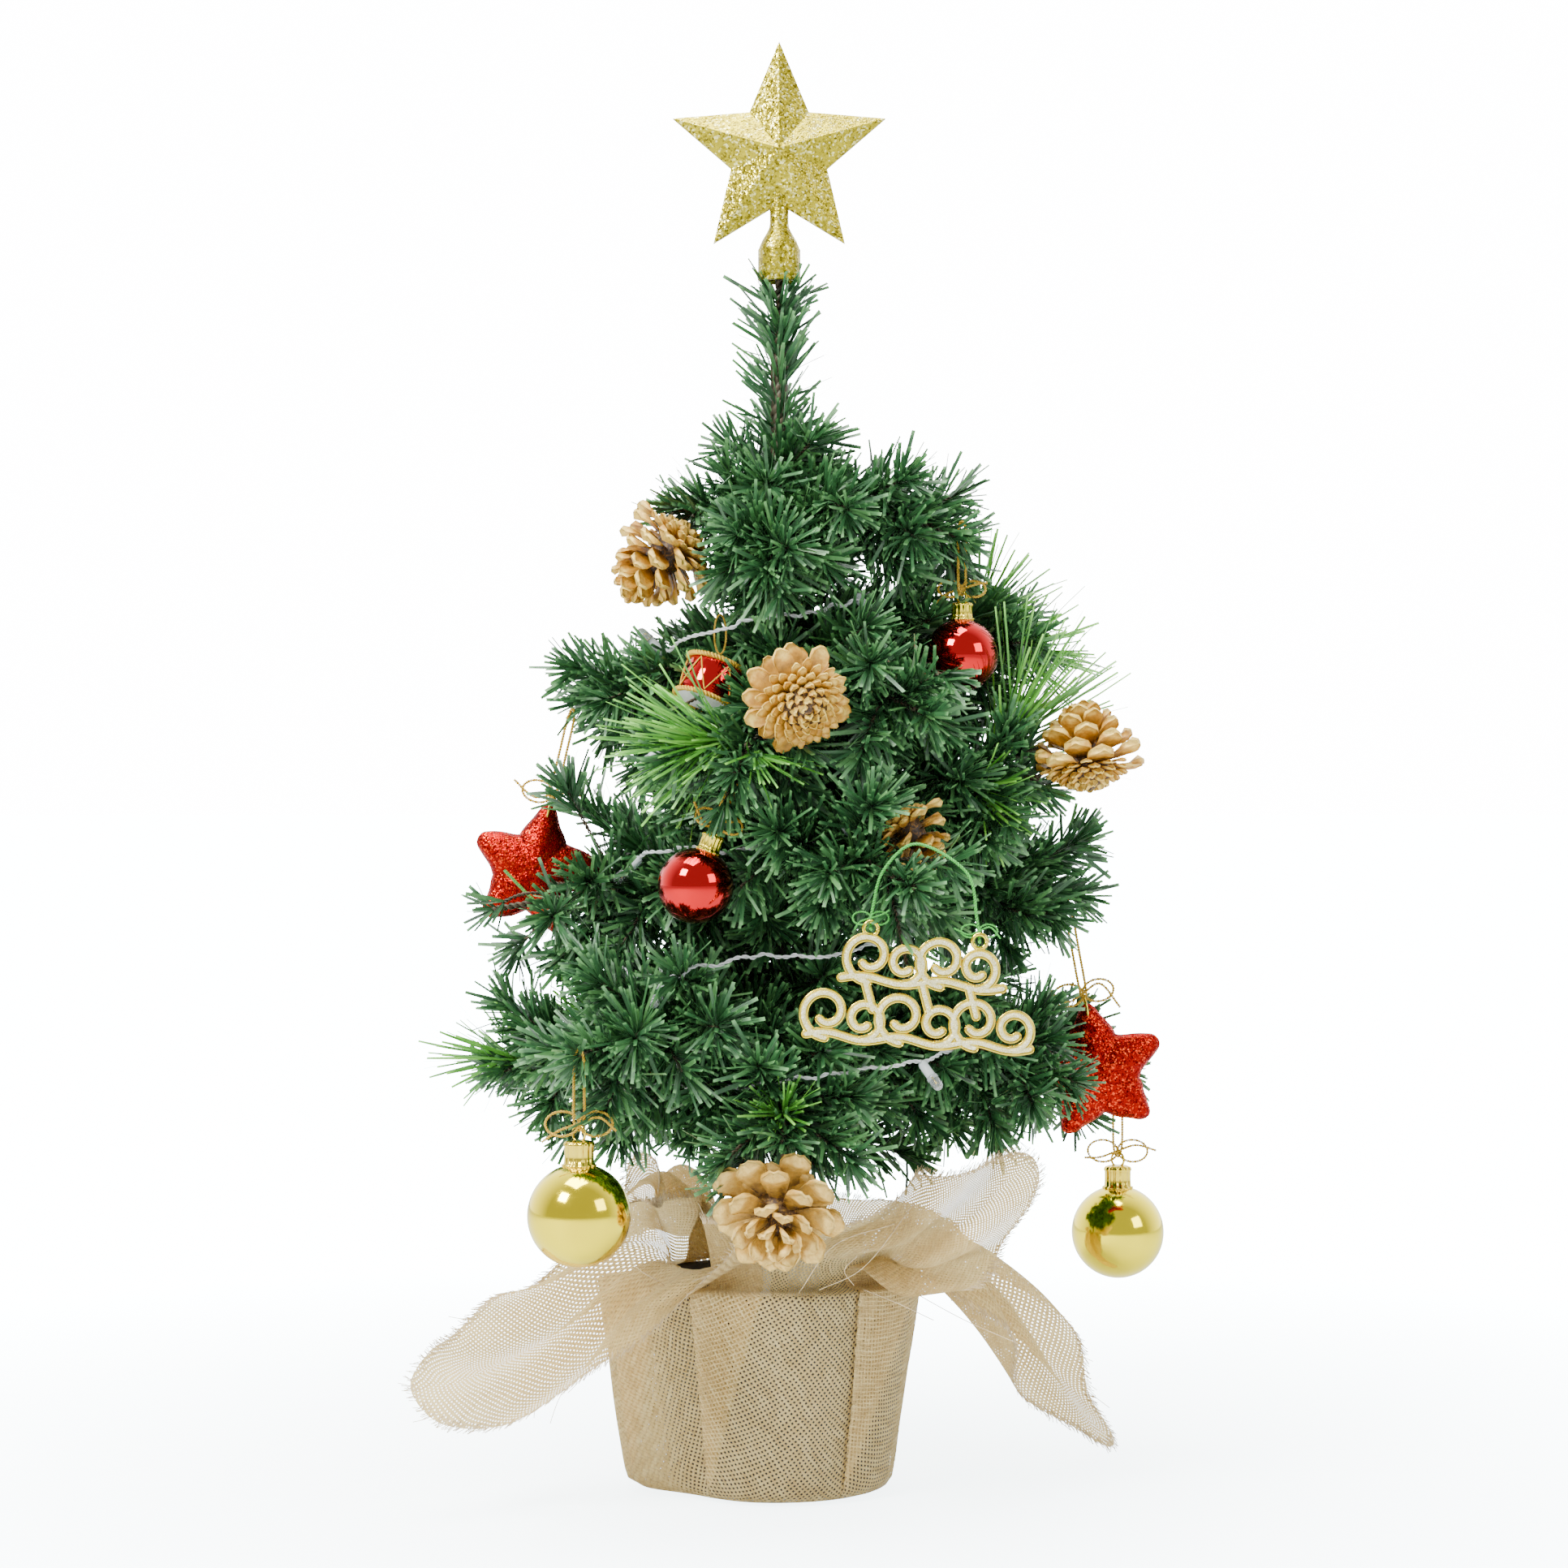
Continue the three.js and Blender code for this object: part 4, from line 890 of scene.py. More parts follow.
def build_trunk():
    rng = seeded("trunk and leader")
    wood, green = Bits(), Bits()
    twisted(wood, upright("pole", 90), "trunk", strands=4, sides=7, spread=0.95)
    leader = upright("leader", 24)
    leader[:, 0] = 0.4 * MM * np.sin(leader[:, 2] / MM)
    twisted(wood, leader, "leader")
    add_needles(green, rng, upright("needles", 60), 1500, (18, 27), lean=(50, 82))
    upper = upright("leader_needles", 24)
    add_needles(green, rng, upper, 250, lean=(22, 62))
    add_needles(green, rng, upper[-7:], 36, (13, 19), lean=(34, 66))
    for k in range(TRUNK_TWIGS["count"]):
        t = (k + 0.5) / TRUNK_TWIGS["count"]
        a = GOLDEN_ANGLE * k
        sprout = unit((math.cos(a), math.sin(a), rng.uniform(-0.35, 0.3) + 0.5 * t))
        reach = mix(*TRUNK_TWIGS["length"], t ** 0.8) * rng.uniform(0.85, 1.1)
        add_twig(green, wood, rng, (0, 0, mix(*TRUNK["twigs"], t) * MM), sprout, reach)
    green.piece("trunk_needles", NEEDLES, "base", "needles", smooth_faces=False)
    wood.piece("trunk_wires", WIRE, "base", "green_wire", replaces=["trunk_pole", "leader"])


# ---- light string ----
def string_route():
    """The light string's line in metres, out of the battery case and round the tree."""
    route = list(LEAD)
    steps = TURNS["count"] * 36
    for i in range(steps + 1):
        t = i / steps
        a = math.radians(TURNS["start"] + 360 * TURNS["count"] * t)
        dip = 0.5 + 0.5 * math.sin(3.3 * a + 2.1) * math.sin(0.77 * a + 0.4)
        r = mix(TURNS["r0"], TURNS["r1"], t) * (1 - 0.22 * dip * smooth(min(t, 1 - t) * 12))
        route.append((r * math.cos(a), r * math.sin(a), mix(TURNS["z0"], TURNS["z1"], t)))
    return resample(np.array(route) * MM, 0.003)


def drift(rng, n, window, size):
    """A random shift for each of n points, smoothed over a window of them."""
    shifts = [np.convolve(rng.normal(0, 1, n), np.ones(window) / window, "same") for _ in range(3)]
    return np.stack(shifts, -1) * size


def build_string():
    rng = seeded("light string")
    route = string_route()
    n = len(route)
    wander = drift(rng, n, 15, 0.009) + drift(rng, n, 5, 0.0016)
    # the first points stay where they are, in the battery case's outlet
    path = route + wander * smooth((np.arange(n) - 22) / 14)[:, None]
    wires, sleeves, lenses, dies = Bits(), Bits(), Bits(), Bits()
    twisted(wires, path, "string", spread=1.02, sides=6)
    for i in range(LED_COUNT):
        at = at_share(path, mix(*LED_STRETCH, i / (LED_COUNT - 1)))
        turn = turn_to((at[0], at[1], (0.9 if i % 2 else -0.9) * math.hypot(at[0], at[1])))
        lathe(sleeves, in_metres(SLEEVE_SHAPE), 16, at, turn)
        lathe(lenses, in_metres(LENS_SHAPE), 20, at, turn)
        for x in (-0.55, 0.55):
            pin = np.array([(x, 0, 8.6), (x, 0, 11.4), (x * 0.5, 0, 12.0)]) * MM
            tube(dies, pin @ turn.T + at, 0.28 * MM, 6)
    wires.piece("string_wires", CLEAR_WIRE, "base", "clear_vinyl", replaces=["light_string"])
    sleeves.piece("led_sleeves", LED_SLEEVE, "base", "clear_vinyl")
    lenses.piece("led_lenses", LED_LENS, "base", "clear_vinyl")
    dies.piece("led_dies", GOLD_BRIGHT, "base", "gold_wire")


# ---- ornaments ----
def hung(name):
    """The centre of a hanging ornament, its thread's top and the turn that takes +Z up the thread."""
    centre = box_centre(name)
    top = np.array(joint_of(name)["pos_m"], float)
    return centre, top, turn_to(top - centre)


def bow(rng, at, size, turn):
    """A small bow: two loops and two loose ends, as paths."""
    paths = []
    a = round_turn(24)
    for side in (-1, 1):
        loop = points(side * size * 0.5 * (1 - np.cos(a)), 0.18 * size * np.sin(a), 0.35 * size * np.sin(a))
        tip = (side * size * rng.uniform(0.9, 1.4), -0.2 * size, -size * rng.uniform(-0.5, 0.8))
        end = curve_through([(0, 0, 0), (side * size * 0.6, -0.1 * size, 0.2 * size * side), tip], 14)
        paths += [loop, end]
    return [path @ turn.T + at for path in paths]


def hang_by_thread(name, kind, rng, low, knot, width, bow_size):
    """An ornament's thread: a loop from a height on its own axis up to its branch, and a bow at the knot."""
    centre, top, turn = hung(name)
    a = round_turn(60)
    half = (np.linalg.norm(top - centre) - low) / 2
    pull = 0.55 + 0.45 * np.cos(a) ** 2
    loop = points(width * np.sin(a) * pull, 0.25 * width * np.sin(2 * a), low + half - half * np.cos(a))
    bits = Bits()
    twisted(bits, loop @ turn.T + centre, f"{kind}_thread")
    for path in bow(rng, np.array([0, 0, knot]) @ turn.T + centre, bow_size, turn):
        twisted(bits, path, f"{kind}_bow", sides=4)
    bits.piece(f"{name}_loop", GOLD_THREAD, name, "gold_thread", replaces=[f"{name}_thread"])


def build_bauble(name, radius, material, slot):
    centre, _, turn = hung(name)
    k = radius / 20
    r, rc = radius * MM, 5.6 * k * MM
    base, tall = (radius - 0.9 * k) * MM, 9.8 * k * MM
    ball, cap = Bits(), Bits()
    lift = np.linspace(0, math.pi, 49)
    lathe(ball, points(r * np.sin(lift), -r * np.cos(lift)), 72, centre, turn)
    ball.piece(f"{name}_ball", material, name, slot, replaces=[name])
    rim = [(wide * rc, base + high * MM) for wide, high in CAP_RIM]
    side = [(wide * rc, base + high * tall) for wide, high in CAP_SIDE]
    lathe(cap, rim + side, 112, centre, turn,
          wobble=lambda a, row: 1 + 0.045 * np.cos(14 * a) * ((row > 0) & (row < 9)))
    a = round_turn(40)
    ring_r = 3.2 * k * MM
    ring = points(ring_r * np.cos(a), 0, base + tall + 0.8 * ring_r + ring_r * np.sin(a))
    tube(cap, ring @ np.array(turned(-40, "Z")).T @ turn.T + centre, 0.5 * MM, 8)
    cap.piece(f"{name}_crown", GOLD_BRIGHT, name, "gold_foil", replaces=[f"{name}_cap"])
    low = base + tall + 1.2 * ring_r
    hang_by_thread(name, "ball", seeded(name), low, low + 2.5 * MM, 3.6 * k * MM, 13 * k * MM)


def rounded_star(angles, tip, notch, round_r):
    """The distance from a five-point star's centre to its edge, for points that are rounded to a radius."""
    fifth = TURN / 5
    a = (angles - math.pi / 2) % fifth
    a = np.minimum(a, fifth - a)
    start = np.array([tip - round_r, 0.0])
    side = (notch - round_r) * np.array([math.cos(fifth / 2), math.sin(fifth / 2)]) - start
    low, high = np.zeros_like(a), np.full_like(a, tip)
    for _ in range(26):
        r = (low + high) / 2
        point = points(r * np.cos(a), r * np.sin(a)) - start
        beyond = point[:, 0] * side[1] - point[:, 1] * side[0]
        share = np.clip(point @ side / (side @ side), 0, 1)
        gap = np.linalg.norm(point - share[:, None] * side, axis=1)
        inside = (beyond < 0) | (gap < round_r)
        low, high = np.where(inside, r, low), np.where(inside, high, r)
    return low


def build_red_star(name, size):
    rng = seeded(name)
    centre, _, turn = hung(name)
    body, ring = Bits(), Bits()
    tip = (size + 1) * MM
    a = round_turn(160, closed=False)
    lumps = 1 + 0.02 * np.sin(7 * a + rng.uniform(0, 6)) + 0.015 * np.sin(13 * a)
    f = np.linspace(0, 1, 15)[:, None]
    r = f * (rounded_star(a, tip, 0.6 * tip, STAR_ROUND * MM) * lumps)[None, :]
    rise = STAR_THICK * MM * np.sqrt(np.clip(1 - f ** 2.4, 0, 1)) * (0.74 + 0.26 * (1 - f))
    for face in (-1, 1):
        verts = points(r * np.cos(a), face * rise, r * np.sin(a)).reshape(-1, 3)
        body.add(verts @ turn.T + centre, grid_faces(len(f), len(a), closed=True, flipped=face > 0))
    body.piece(f"{name}_body", RED_GLITTER, name, "red_glitter", replaces=[name])
    ring_r = 4.4 * MM
    middle = (size - 5) * MM + ring_r
    a = round_turn(40)
    hoop = points(0, ring_r * np.cos(a), middle + ring_r * np.sin(a))
    tube(ring, hoop @ turn.T + centre, 0.55 * MM, 8)
    ring.piece(f"{name}_ring", GOLD_BRIGHT, name, "gold_wire", replaces=[f"{name}_eyelet"])
    top = middle + ring_r
    hang_by_thread(name, "star", rng, top - 1.5 * MM, top + 2 * MM, 2.6 * MM, 13 * MM)


# ---- pine cones ----
def scale_shape():
    """One pine-cone scale along +Z, one unit long: it widens from its root to a thick end with a boss."""
    rows, cols = 9, 7
    u = np.linspace(0, 1, rows)[:, None]
    w = np.linspace(-1, 1, cols)[None, :]
    end = np.sqrt(np.clip(1 - (np.clip(u - 0.76, 0, 1) / 0.25) ** 2, 0.03, 1))
    half = (0.12 + 0.24 * smooth(u / 0.8)) * end
    thick = (0.03 + 0.11 * smooth((u - 0.62) / 0.24)) * (0.35 + 0.65 * end)
    ridge = 0.09 * np.exp(-((u - 0.86) / 0.1) ** 2) * (1 - np.abs(w)) + 0.02 * np.exp(-(w / 0.25) ** 2) * u
    bowed = 0.12 * u ** 2 + 0.05 * (1 - w ** 2) * u
    outer = points(half * w, bowed + thick + ridge, u)
    inner = points(half * w, bowed - thick * 0.3, u * 0.99)
    n = rows * cols
    faces = grid_faces(rows, cols, flipped=True) + [tuple(i + n for i in q) for q in grid_faces(rows, cols)]
    rim = [i * cols for i in range(rows)] + [(rows - 1) * cols + j for j in range(1, cols)]
    rim += [i * cols + cols - 1 for i in range(rows - 2, -1, -1)] + list(range(cols - 2, 0, -1))
    faces += [(a, b, b + n, a + n) for a, b in zip(rim, rim[1:] + rim[:1])]
    verts = np.concatenate([outer.reshape(-1, 3), inner.reshape(-1, 3)])
    shade = (u - 0.12 * np.abs(w)).ravel()
    return verts, faces, np.concatenate([shade, shade * 0.8])


SCALE = scale_shape()


def add_scale(bits, turn, centre, around, lean, root, size, tint):
    """Puts one scale on a cone, turned by its lean from the axis and then round it. Sizes in millimetres."""
    verts, faces, shade = SCALE
    x, y, z = (verts * size).T
    c, s = math.cos(lean), math.sin(lean)
    y, z = root[0] + z * s - y * c, root[1] + z * c + y * s
    c, s = math.cos(around), math.sin(around)
    spun = points(x * c - y * s, x * s + y * c, z)
    bits.add(spun * MM @ turn.T + centre, faces, tint=shade * tint)


def small_scale(d, h, t, count):
    """The lean, root and size of a small scale, with its tip on a flat dome round the stalk."""
    reach, drop = DOME * d * t, -h * mix(0.42, 0.20, t * t)
    across, up = 0.1 * d * t, -0.12 * h
    pitch = DOME * d * math.sqrt(math.pi / count)
    deep = pitch * mix(3.4, 1.1, t)
    long = math.hypot(reach - across, drop - up)
    lean = math.atan2(reach - across, drop - up)
    return lean, (across - 0.24 * (deep - 1.1 * pitch), up), (pitch * 1.45, deep, long)


def large_scale(rng, d, h, t, spread, slim):
    """The lean, root and size of a large open scale."""
    lean = math.radians(mix(mix(74, 100, spread), mix(10, 26, spread), t ** 1.2) + rng.normal(0, 3.5))
    long = d * mix(0.44, 0.26, t ** 1.5) * rng.uniform(0.94, 1.05)
    root = (0.09 * d * (1 - t), h * mix(-0.2, 0.22, t))
    return lean, root, (long * mix(0.82, 0.7, t) * slim, long * 0.8, long)


def build_cone(name, body, d, h, stalk, spread, scales, slim=1.0):
    """A pine cone about its own axis: small packed scales round the stalk, large ones on to its tip."""
    rng = seeded(name)
    centre = box_centre(name)
    turn = turn_to(-np.array(stalk, float))
    bits = Bits()
    core = [(0, -0.4 * h), (0.2 * d, -0.3 * h), (0.16 * d, 0.0), (0.06 * d, 0.26 * h), (0, 0.3 * h)]
    lathe(bits, in_metres(core), 18, centre, turn, tint=0.0)
    small, large = scales
    for i in range(small + large):
        around = i * GOLDEN_ANGLE + rng.normal(0, 0.03)
        shade = rng.uniform(0.8, 1.05)
        if i < small:
            lean, root, size = small_scale(d, h, math.sqrt((i + 0.6) / small), small)
        else:
            lean, root, size = large_scale(rng, d, h, (i - small + 0.5) / large, spread, slim)
        add_scale(bits, turn, centre, around, lean, root, size, shade)
    material = CONE_PALE if name == "pine_cone_front" else CONE_GILT
    bits.piece(f"{name}_scales", material, body, "pine_cone", replaces=[name])


# ---- toy drum ----
def build_drum():
    body = "branch_b_front_left"
    centre = box_centre("drum")
    turn = np.array(turned(DRUM["tilt_x"], "X") @ turned(DRUM["tilt_y"], "Y"))
    r, half = DRUM["r"] * MM, DRUM["h"] * MM / 2
    shell, heads, trim, thread = Bits(), Bits(), Bits(), Bits()
    side = [(r * 0.97, -half), (r, -half + 0.6 * MM), (r, half - 0.6 * MM), (r * 0.97, half)]
    lathe(shell, side, 56, centre, turn)
    a = round_turn(90)
    for sign in (-1, 1):
        z = sign * half
        head = [(r * 0.98, z), (r * 0.8, z + 0.5 * MM * sign), (0, z + 0.7 * MM * sign)]
        lathe(heads, head, 48, centre, turn)
        rim = points((r + 0.5 * MM) * np.cos(a), (r + 0.5 * MM) * np.sin(a), z * 0.95)
        twisted(trim, rim @ turn.T + centre, "drum_rim")
    a = round_turn(97)
    zigzag = np.abs(((a * 6 / math.pi) % 2) - 1) * 2 - 1
    cord = points((r + 0.3 * MM) * np.cos(a), (r + 0.3 * MM) * np.sin(a), 0.78 * half * zigzag)
    tube(trim, cord @ turn.T + centre, 0.32 * MM, 6)
    a = round_turn(50)
    loop = points(2.4 * MM * np.sin(a), 0.8 * MM * np.sin(a), 8 * MM * np.cos(a))
    twisted(thread, loop + box_centre("drum_thread"), "drum_loop")
    shell.piece("drum_shell", RED_FOIL, body, "red_foil", replaces=["drum"])
    heads.piece("drum_heads", DRUM_HEAD, body, "white_plastic")
    trim.piece("drum_cords", GOLD_THREAD, body, "gold_thread")
    thread.piece("drum_loop", GOLD_THREAD, body, "gold_thread", replaces=["drum_thread"])


# ---- scroll plaque ----
def plaque_strokes():
    """The centre lines of the plaque's strokes in its plane: two rails, two rows of scrolls, three ties."""
    t = np.linspace(0, 1, 40)
    strokes = [points(mix(-31, 31, t), -0.5 + 1.2 * np.sin(4 * math.pi * t)),
               points(mix(-43, 43, t), -23 + 1.2 * np.sin(6 * math.pi * t))]
    for x0, step, count, z, r in SCROLLS:
        for i in range(count):
            tall, turns = (1, 1.1) if i % 2 else (1.25, -1.1)
            a = -math.pi / 2 + TURN * turns * t
            rr = r * tall * (1 - 0.62 * t)
            strokes.append(points(x0 + step * i + rr * np.cos(a), z + (tall - 1) * r + rr * np.sin(a)))
    for x in (-22, 0, 18):
        strokes.append(points(x + 4 * t[::5], -1 - 12 * t[::5]))
    return strokes


def ribbon(bits, line, profile, place):
    """A stroke with a cross-section of (offset, height) pairs and round ends, put in place by a function."""
    tangent = units(np.gradient(line, axis=0))
    normal = points(-tangent[:, 1], tangent[:, 0])
    half = max(abs(offset) for offset, _ in profile)
    rows = [(p, n, 1.0) for p, n in zip(line, normal)]
    for f in np.linspace(0.25, 1.5, 5):
        before, after = (line[k] + sign * tangent[k] * half * math.sin(f) for sign, k in ((-1, 0), (1, -1)))
        rows = [(before, normal[0], math.cos(f))] + rows + [(after, normal[-1], math.cos(f))]
    verts = [(*(p + n * offset * wide), height) for p, n, wide in rows for offset, height in profile]
    count = len(profile)
    faces = grid_faces(len(rows), count)
    faces += [tuple(range(count)), tuple((len(rows) - 1) * count + j for j in range(count))[::-1]]
    bits.add(place(np.array(verts)), faces)


def on_plaque(v):
    """Takes points from the plaque's own plane and height to their place on the tree."""
    flat = points(v[:, 0], -v[:, 2], v[:, 1])
    return (flat @ np.array(turned(PLAQUE["tilt"], "Y")).T + PLAQUE["at"]) * MM


def build_plaque():
    w, thick = PLAQUE["stroke"] / 2, PLAQUE["thick"]
    body, face, thread = Bits(), Bits(), Bits()
    for k, line in enumerate(plaque_strokes()):
        for bits, shape in ((body, EDGE_SHAPE), (face, FACE_SHAPE)):
            # each stroke lies a touch higher than the last, so that no two faces share a plane
            ribbon(bits, line, [(x * w, y * thick + 0.012 * k) for x, y in shape], on_plaque)
    a = round_turn(36)
    eyes = []
    for x, z in ((-21, 19.0), (21, 17.0)):
        tube(body, on_plaque(points(x + 2.7 * np.cos(a), z + 2.7 * np.sin(a), thick / 2)), 0.9 * MM, 8)
        eyes.append(on_plaque(np.array([[x, z, thick / 2]]))[0])
    body.piece("plaque_edge", GOLD_BRIGHT, "scroll_plaque", "gold_foil", replaces=["scroll_plaque"])
    face.piece("plaque_face", PALE_GLITTER, "scroll_plaque", "gold_glitter", smooth_faces=False)
    back, high = PLAQUE["thread_y"] * MM, PLAQUE["thread_top"] * MM
    left, right = eyes
    through = [(0, -0.001, -0.0003), (0, 0.0022, 0.001), (0.001, 0.002, 0.009)]
    passed = [left + shift for shift in through]
    passed += [(left[0] + 0.005, back, high - 0.010), (PLAQUE["at"][0] * MM - 0.002, back, high),
               (right[0] - 0.005, back, high - 0.011)]
    passed += [right + (-x, y, z) for x, y, z in through[::-1]]
    twisted(thread, curve_through(passed, 120), "plaque_cord")
    rng = seeded("plaque thread")
    for eye in eyes:
        for path in bow(rng, eye + (0, 0.001, 0.004), 0.007, np.eye(3)):
            twisted(thread, path, "plaque_bow", sides=4)
    thread.piece("plaque_cord", GREEN_THREAD, "scroll_plaque", "green_thread", replaces=["plaque_thread"])


# ---- star topper ----
def star_half(bits, side):
    """One half of the hollow star: ten facets from its middle to its rim, each with a lip at the seam."""
    steps = np.linspace(0, 1, 16)
    apex = np.array([0, side * TOPPER["half"], 0]) * MM
    for i in range(10):
        ends = []
        for k in (i, i + 1):
            a, r = math.pi / 2 + math.pi * k / 5, TOPPER["notch" if k % 2 else "tip"]
            ends.append(np.array([r * math.cos(a), side * TOPPER["seam"], r * math.sin(a)]) * MM)
        verts = mix(apex, mix(*ends, steps[None, :, None]), steps[:, None, None])
        verts = np.concatenate([verts, verts[-1:] * (1, 0.01, 1)]).reshape(-1, 3)
        bits.add(verts + Z_AXIS * TOPPER["centre"] * MM, grid_faces(17, 16, flipped=side < 0))


def build_topper():
    for side, name in ((-1, "front"), (1, "back")):
        bits = Bits()
        star_half(bits, side)
        bits.piece(f"topper_{name}", GOLD_GLITTER, "topper", "gold_glitter", replaces=[f"topper_star_{name}"],
                   smooth_faces=False)
    bits = Bits()
    s = TOPPER["socket"]
    lathe(bits, in_metres((r, s + z) for r, z in NECK_SHAPE), 48)
    for x in (8.5, -8.5):
        tube(bits, np.array([(x, 0, s + 0.8), (x, 0, s + 13.2), (0.62 * x, 0, s + 19)]) * MM, 0.35 * MM, 6)
    bits.piece("topper_neck", GOLD_GLITTER, "topper", "gold_glitter", replaces=["topper_socket"])


# ---- pot, ballast and battery case ----
def build_pot():
    b, r, h, w, f, z = (POT[k] * MM for k in ("base", "rim", "height", "wall", "floor", "bottom"))
    pot, ballast = Bits(), Bits()
    outside = [(0, z), (b - 0.002, z), (b, z + 0.002), (r - 0.0012, z + h - 0.004), (r, z + h - 0.0035)]
    rim = [(r, z + h - 0.0004), (r - 0.0005, z + h), (r - w, z + h), (r - w - 0.0003, z + h - 0.001)]
    lathe(pot, outside + rim + [(b - w, z + f), (0, z + f)], 72)
    pot.piece("pot_shell", DARK_PLASTIC, "base", "dark_plastic", replaces=["pot"])
    low, high = (z for _, _, z in box_of("ballast"))
    rng = seeded("ballast top")
    rows = [(0.0046, high - 0.006), (0.0048, high)]
    rows += [(x, high - 0.0004 * rng.random()) for x in np.linspace(0.009, 0.0468, 14)]
    rows += [(0.0473, high - 0.002), (0.0436, low + 0.001), (0.0425, low), (0, low)]
    lathe(ballast, rows, 64, wobble=lambda a, row: 1 + 0.006 * np.sin(5 * a + row) * ((row > 2) & (row < 15)))
    ballast.piece("ballast_cement", CEMENT, "base", "cement", replaces=["ballast"])


def rounded_block(bits, low, high, radius):
    """A block with rounded edges."""
    low, high = np.array(low, float), np.array(high, float)
    bm = bmesh.new()
    bmesh.ops.create_cube(bm, size=1.0)
    bmesh.ops.scale(bm, vec=Vector(high - low), verts=bm.verts)
    bmesh.ops.bevel(bm, geom=list(bm.edges), offset=radius, segments=3, affect="EDGES", profile=0.5)
    bmesh.ops.translate(bm, vec=Vector((low + high) / 2), verts=bm.verts)
    bits.add([v.co[:] for v in bm.verts], [[v.index for v in f.verts] for f in bm.faces])
    bm.free()


def build_battery_case():
    wall, end, cap = (CASE[k] * MM for k in ("wall", "end", "cap"))
    case, lid, knob = Bits(), Bits(), Bits()
    (x0, y0, z0), (x1, y1, z1) = box_of("battery_case")
    rounded_block(case, (x0, y0, z0), (x1, y0 + wall, z1), 0.0008)
    rounded_block(case, (x0, y0, z0), (x0 + wall, y1, z1), 0.0006)
    rounded_block(case, (x1 - wall, y0, z0), (x1, y1, z1), 0.0006)
    rounded_block(case, (x0, y0, z0), (x1, y1, z0 + end), 0.0008)
    rounded_block(case, (x0, y0, z1 - cap), (x1, y1, z1), 0.0008)
    rounded_block(case, (-0.0006, y0, z0 + 0.002), (0.0006, y1 - 0.004, z1 - 0.004), 0.0003)
    case.piece("case_shell", WHITE_PLASTIC, "base", "white_plastic", replaces=["battery_case"])
    low, high = box_of("battery_lid")
    rounded_block(lid, low, high, 0.0005)
    for i in range(5):
        z = high[2] - 0.006 - 0.0022 * i
        tube(lid, [(-0.007, high[1], z), (0, high[1] + 0.0002, z), (0.007, high[1], z)], 0.0005, 8)
    lid.piece("case_lid", WHITE_PLASTIC, "lid", "white_plastic", replaces=["battery_lid"])
    low, high = box_of("battery_switch")
    rounded_block(knob, low, high, 0.0006)
    for i in range(3):
        x = mix(low[0], high[0], (i + 1) / 4)
        ridge = points(x, np.array([low[1] + 0.001, (low[1] + high[1]) / 2, high[1] - 0.001]), high[2])
        tube(knob, ridge, 0.0003, 6)
    knob.piece("case_switch", DARK_PLASTIC, "switch", "dark_plastic", replaces=["battery_switch"])


# ---- burlap: one square cloth under the pot, gathered up its side in flat pleats ----
CORNER_LINES = {corner[0]: curve_through(corner[1], 160) for corner in CORNERS}


def radius_and_height(table, distance):
    """Radius and height from a table of (distance along the cloth, radius, height), in millimetres."""
    along, radius, height = zip(*table)
    return float(np.interp(distance, along, radius)), float(np.interp(distance, along, height))


def pleated(phi, rho, radius):
    """The azimuth on the pot and the layer (1 outermost, -1 innermost) of the cloth at an azimuth phi."""
    starts = [math.radians(t) for t, _ in PLEATS]
    m = (-phi - starts[0]) % TURN + starts[0]
    k = max(i for i, t in enumerate(starts) if t <= m + 1e-9)
    start, share = starts[k], PLEATS[k][1]
    period = (starts + [starts[0] + TURN])[k + 1] - start
    edge = share * period
    flat, first = rho * (m - start), radius * edge
    back = max(0.0, (rho - radius) * period / 2)
    if flat <= first:
        return -(start + flat / radius), 1.0
    if flat <= first + back:
        layer = mix(1.0, -1.0, smooth((flat - first) / max(back, 1e-6)))
        return -(start + edge - (flat - first) / radius), layer
    theta = edge - back / radius + (flat - first - back) / radius
    return -(start + theta), mix(-1.0, 1.0, smooth((theta / period - share) / max(1e-6, 1 - share)))


def collar_point(theta, over, layer, ruffle, bulge):
    """Where the cloth goes past the rim where no corner pulls it: in over the rim and up."""
    r, z = radius_and_height(COLLAR, over)
    r += 0.9 * layer + ruffle * smooth((over - 14) / 30) * 3.2
    r += bulge * (1 - float(smooth(over / 14)))
    z += ruffle * smooth((over - 20) / 30) * 4
    return np.array([r * math.cos(theta), r * math.sin(theta), z])


def corner_point(corner, along, lateral, reach):
    """Where the cloth goes near a corner: along the corner's line, gathered in lengthwise folds."""
    azimuth, _, (wide_a, wide_b), halves = corner
    t = min(1.0, max(0.0, along / reach))
    path = CORNER_LINES[azimuth]
    k = int(t * (len(path) - 1))
    ahead = unit(path[min(len(path) - 1, k + 3)] - path[max(0, k - 3)])
    wide = unit(mix(np.array(wide_a, float), np.array(wide_b, float), t))
    wide = unit(wide - ahead * np.dot(wide, ahead))
    out = np.cross(ahead, wide)
    flat_half = max(3.0, min(reach - along, (RIM_FLAT + along) * 0.58))
    squeeze = min(1.0, float(np.interp(t, [0, 0.5, 1], halves)) / flat_half)
    fold = FOLD_HIGH * math.sqrt(1 - squeeze * squeeze) * math.sin(TURN * lateral / FOLD_FLAT + azimuth)
    curl = 0.010 * (lateral * squeeze) ** 2
    return path[k] + wide * lateral * squeeze + out * (fold + curl)


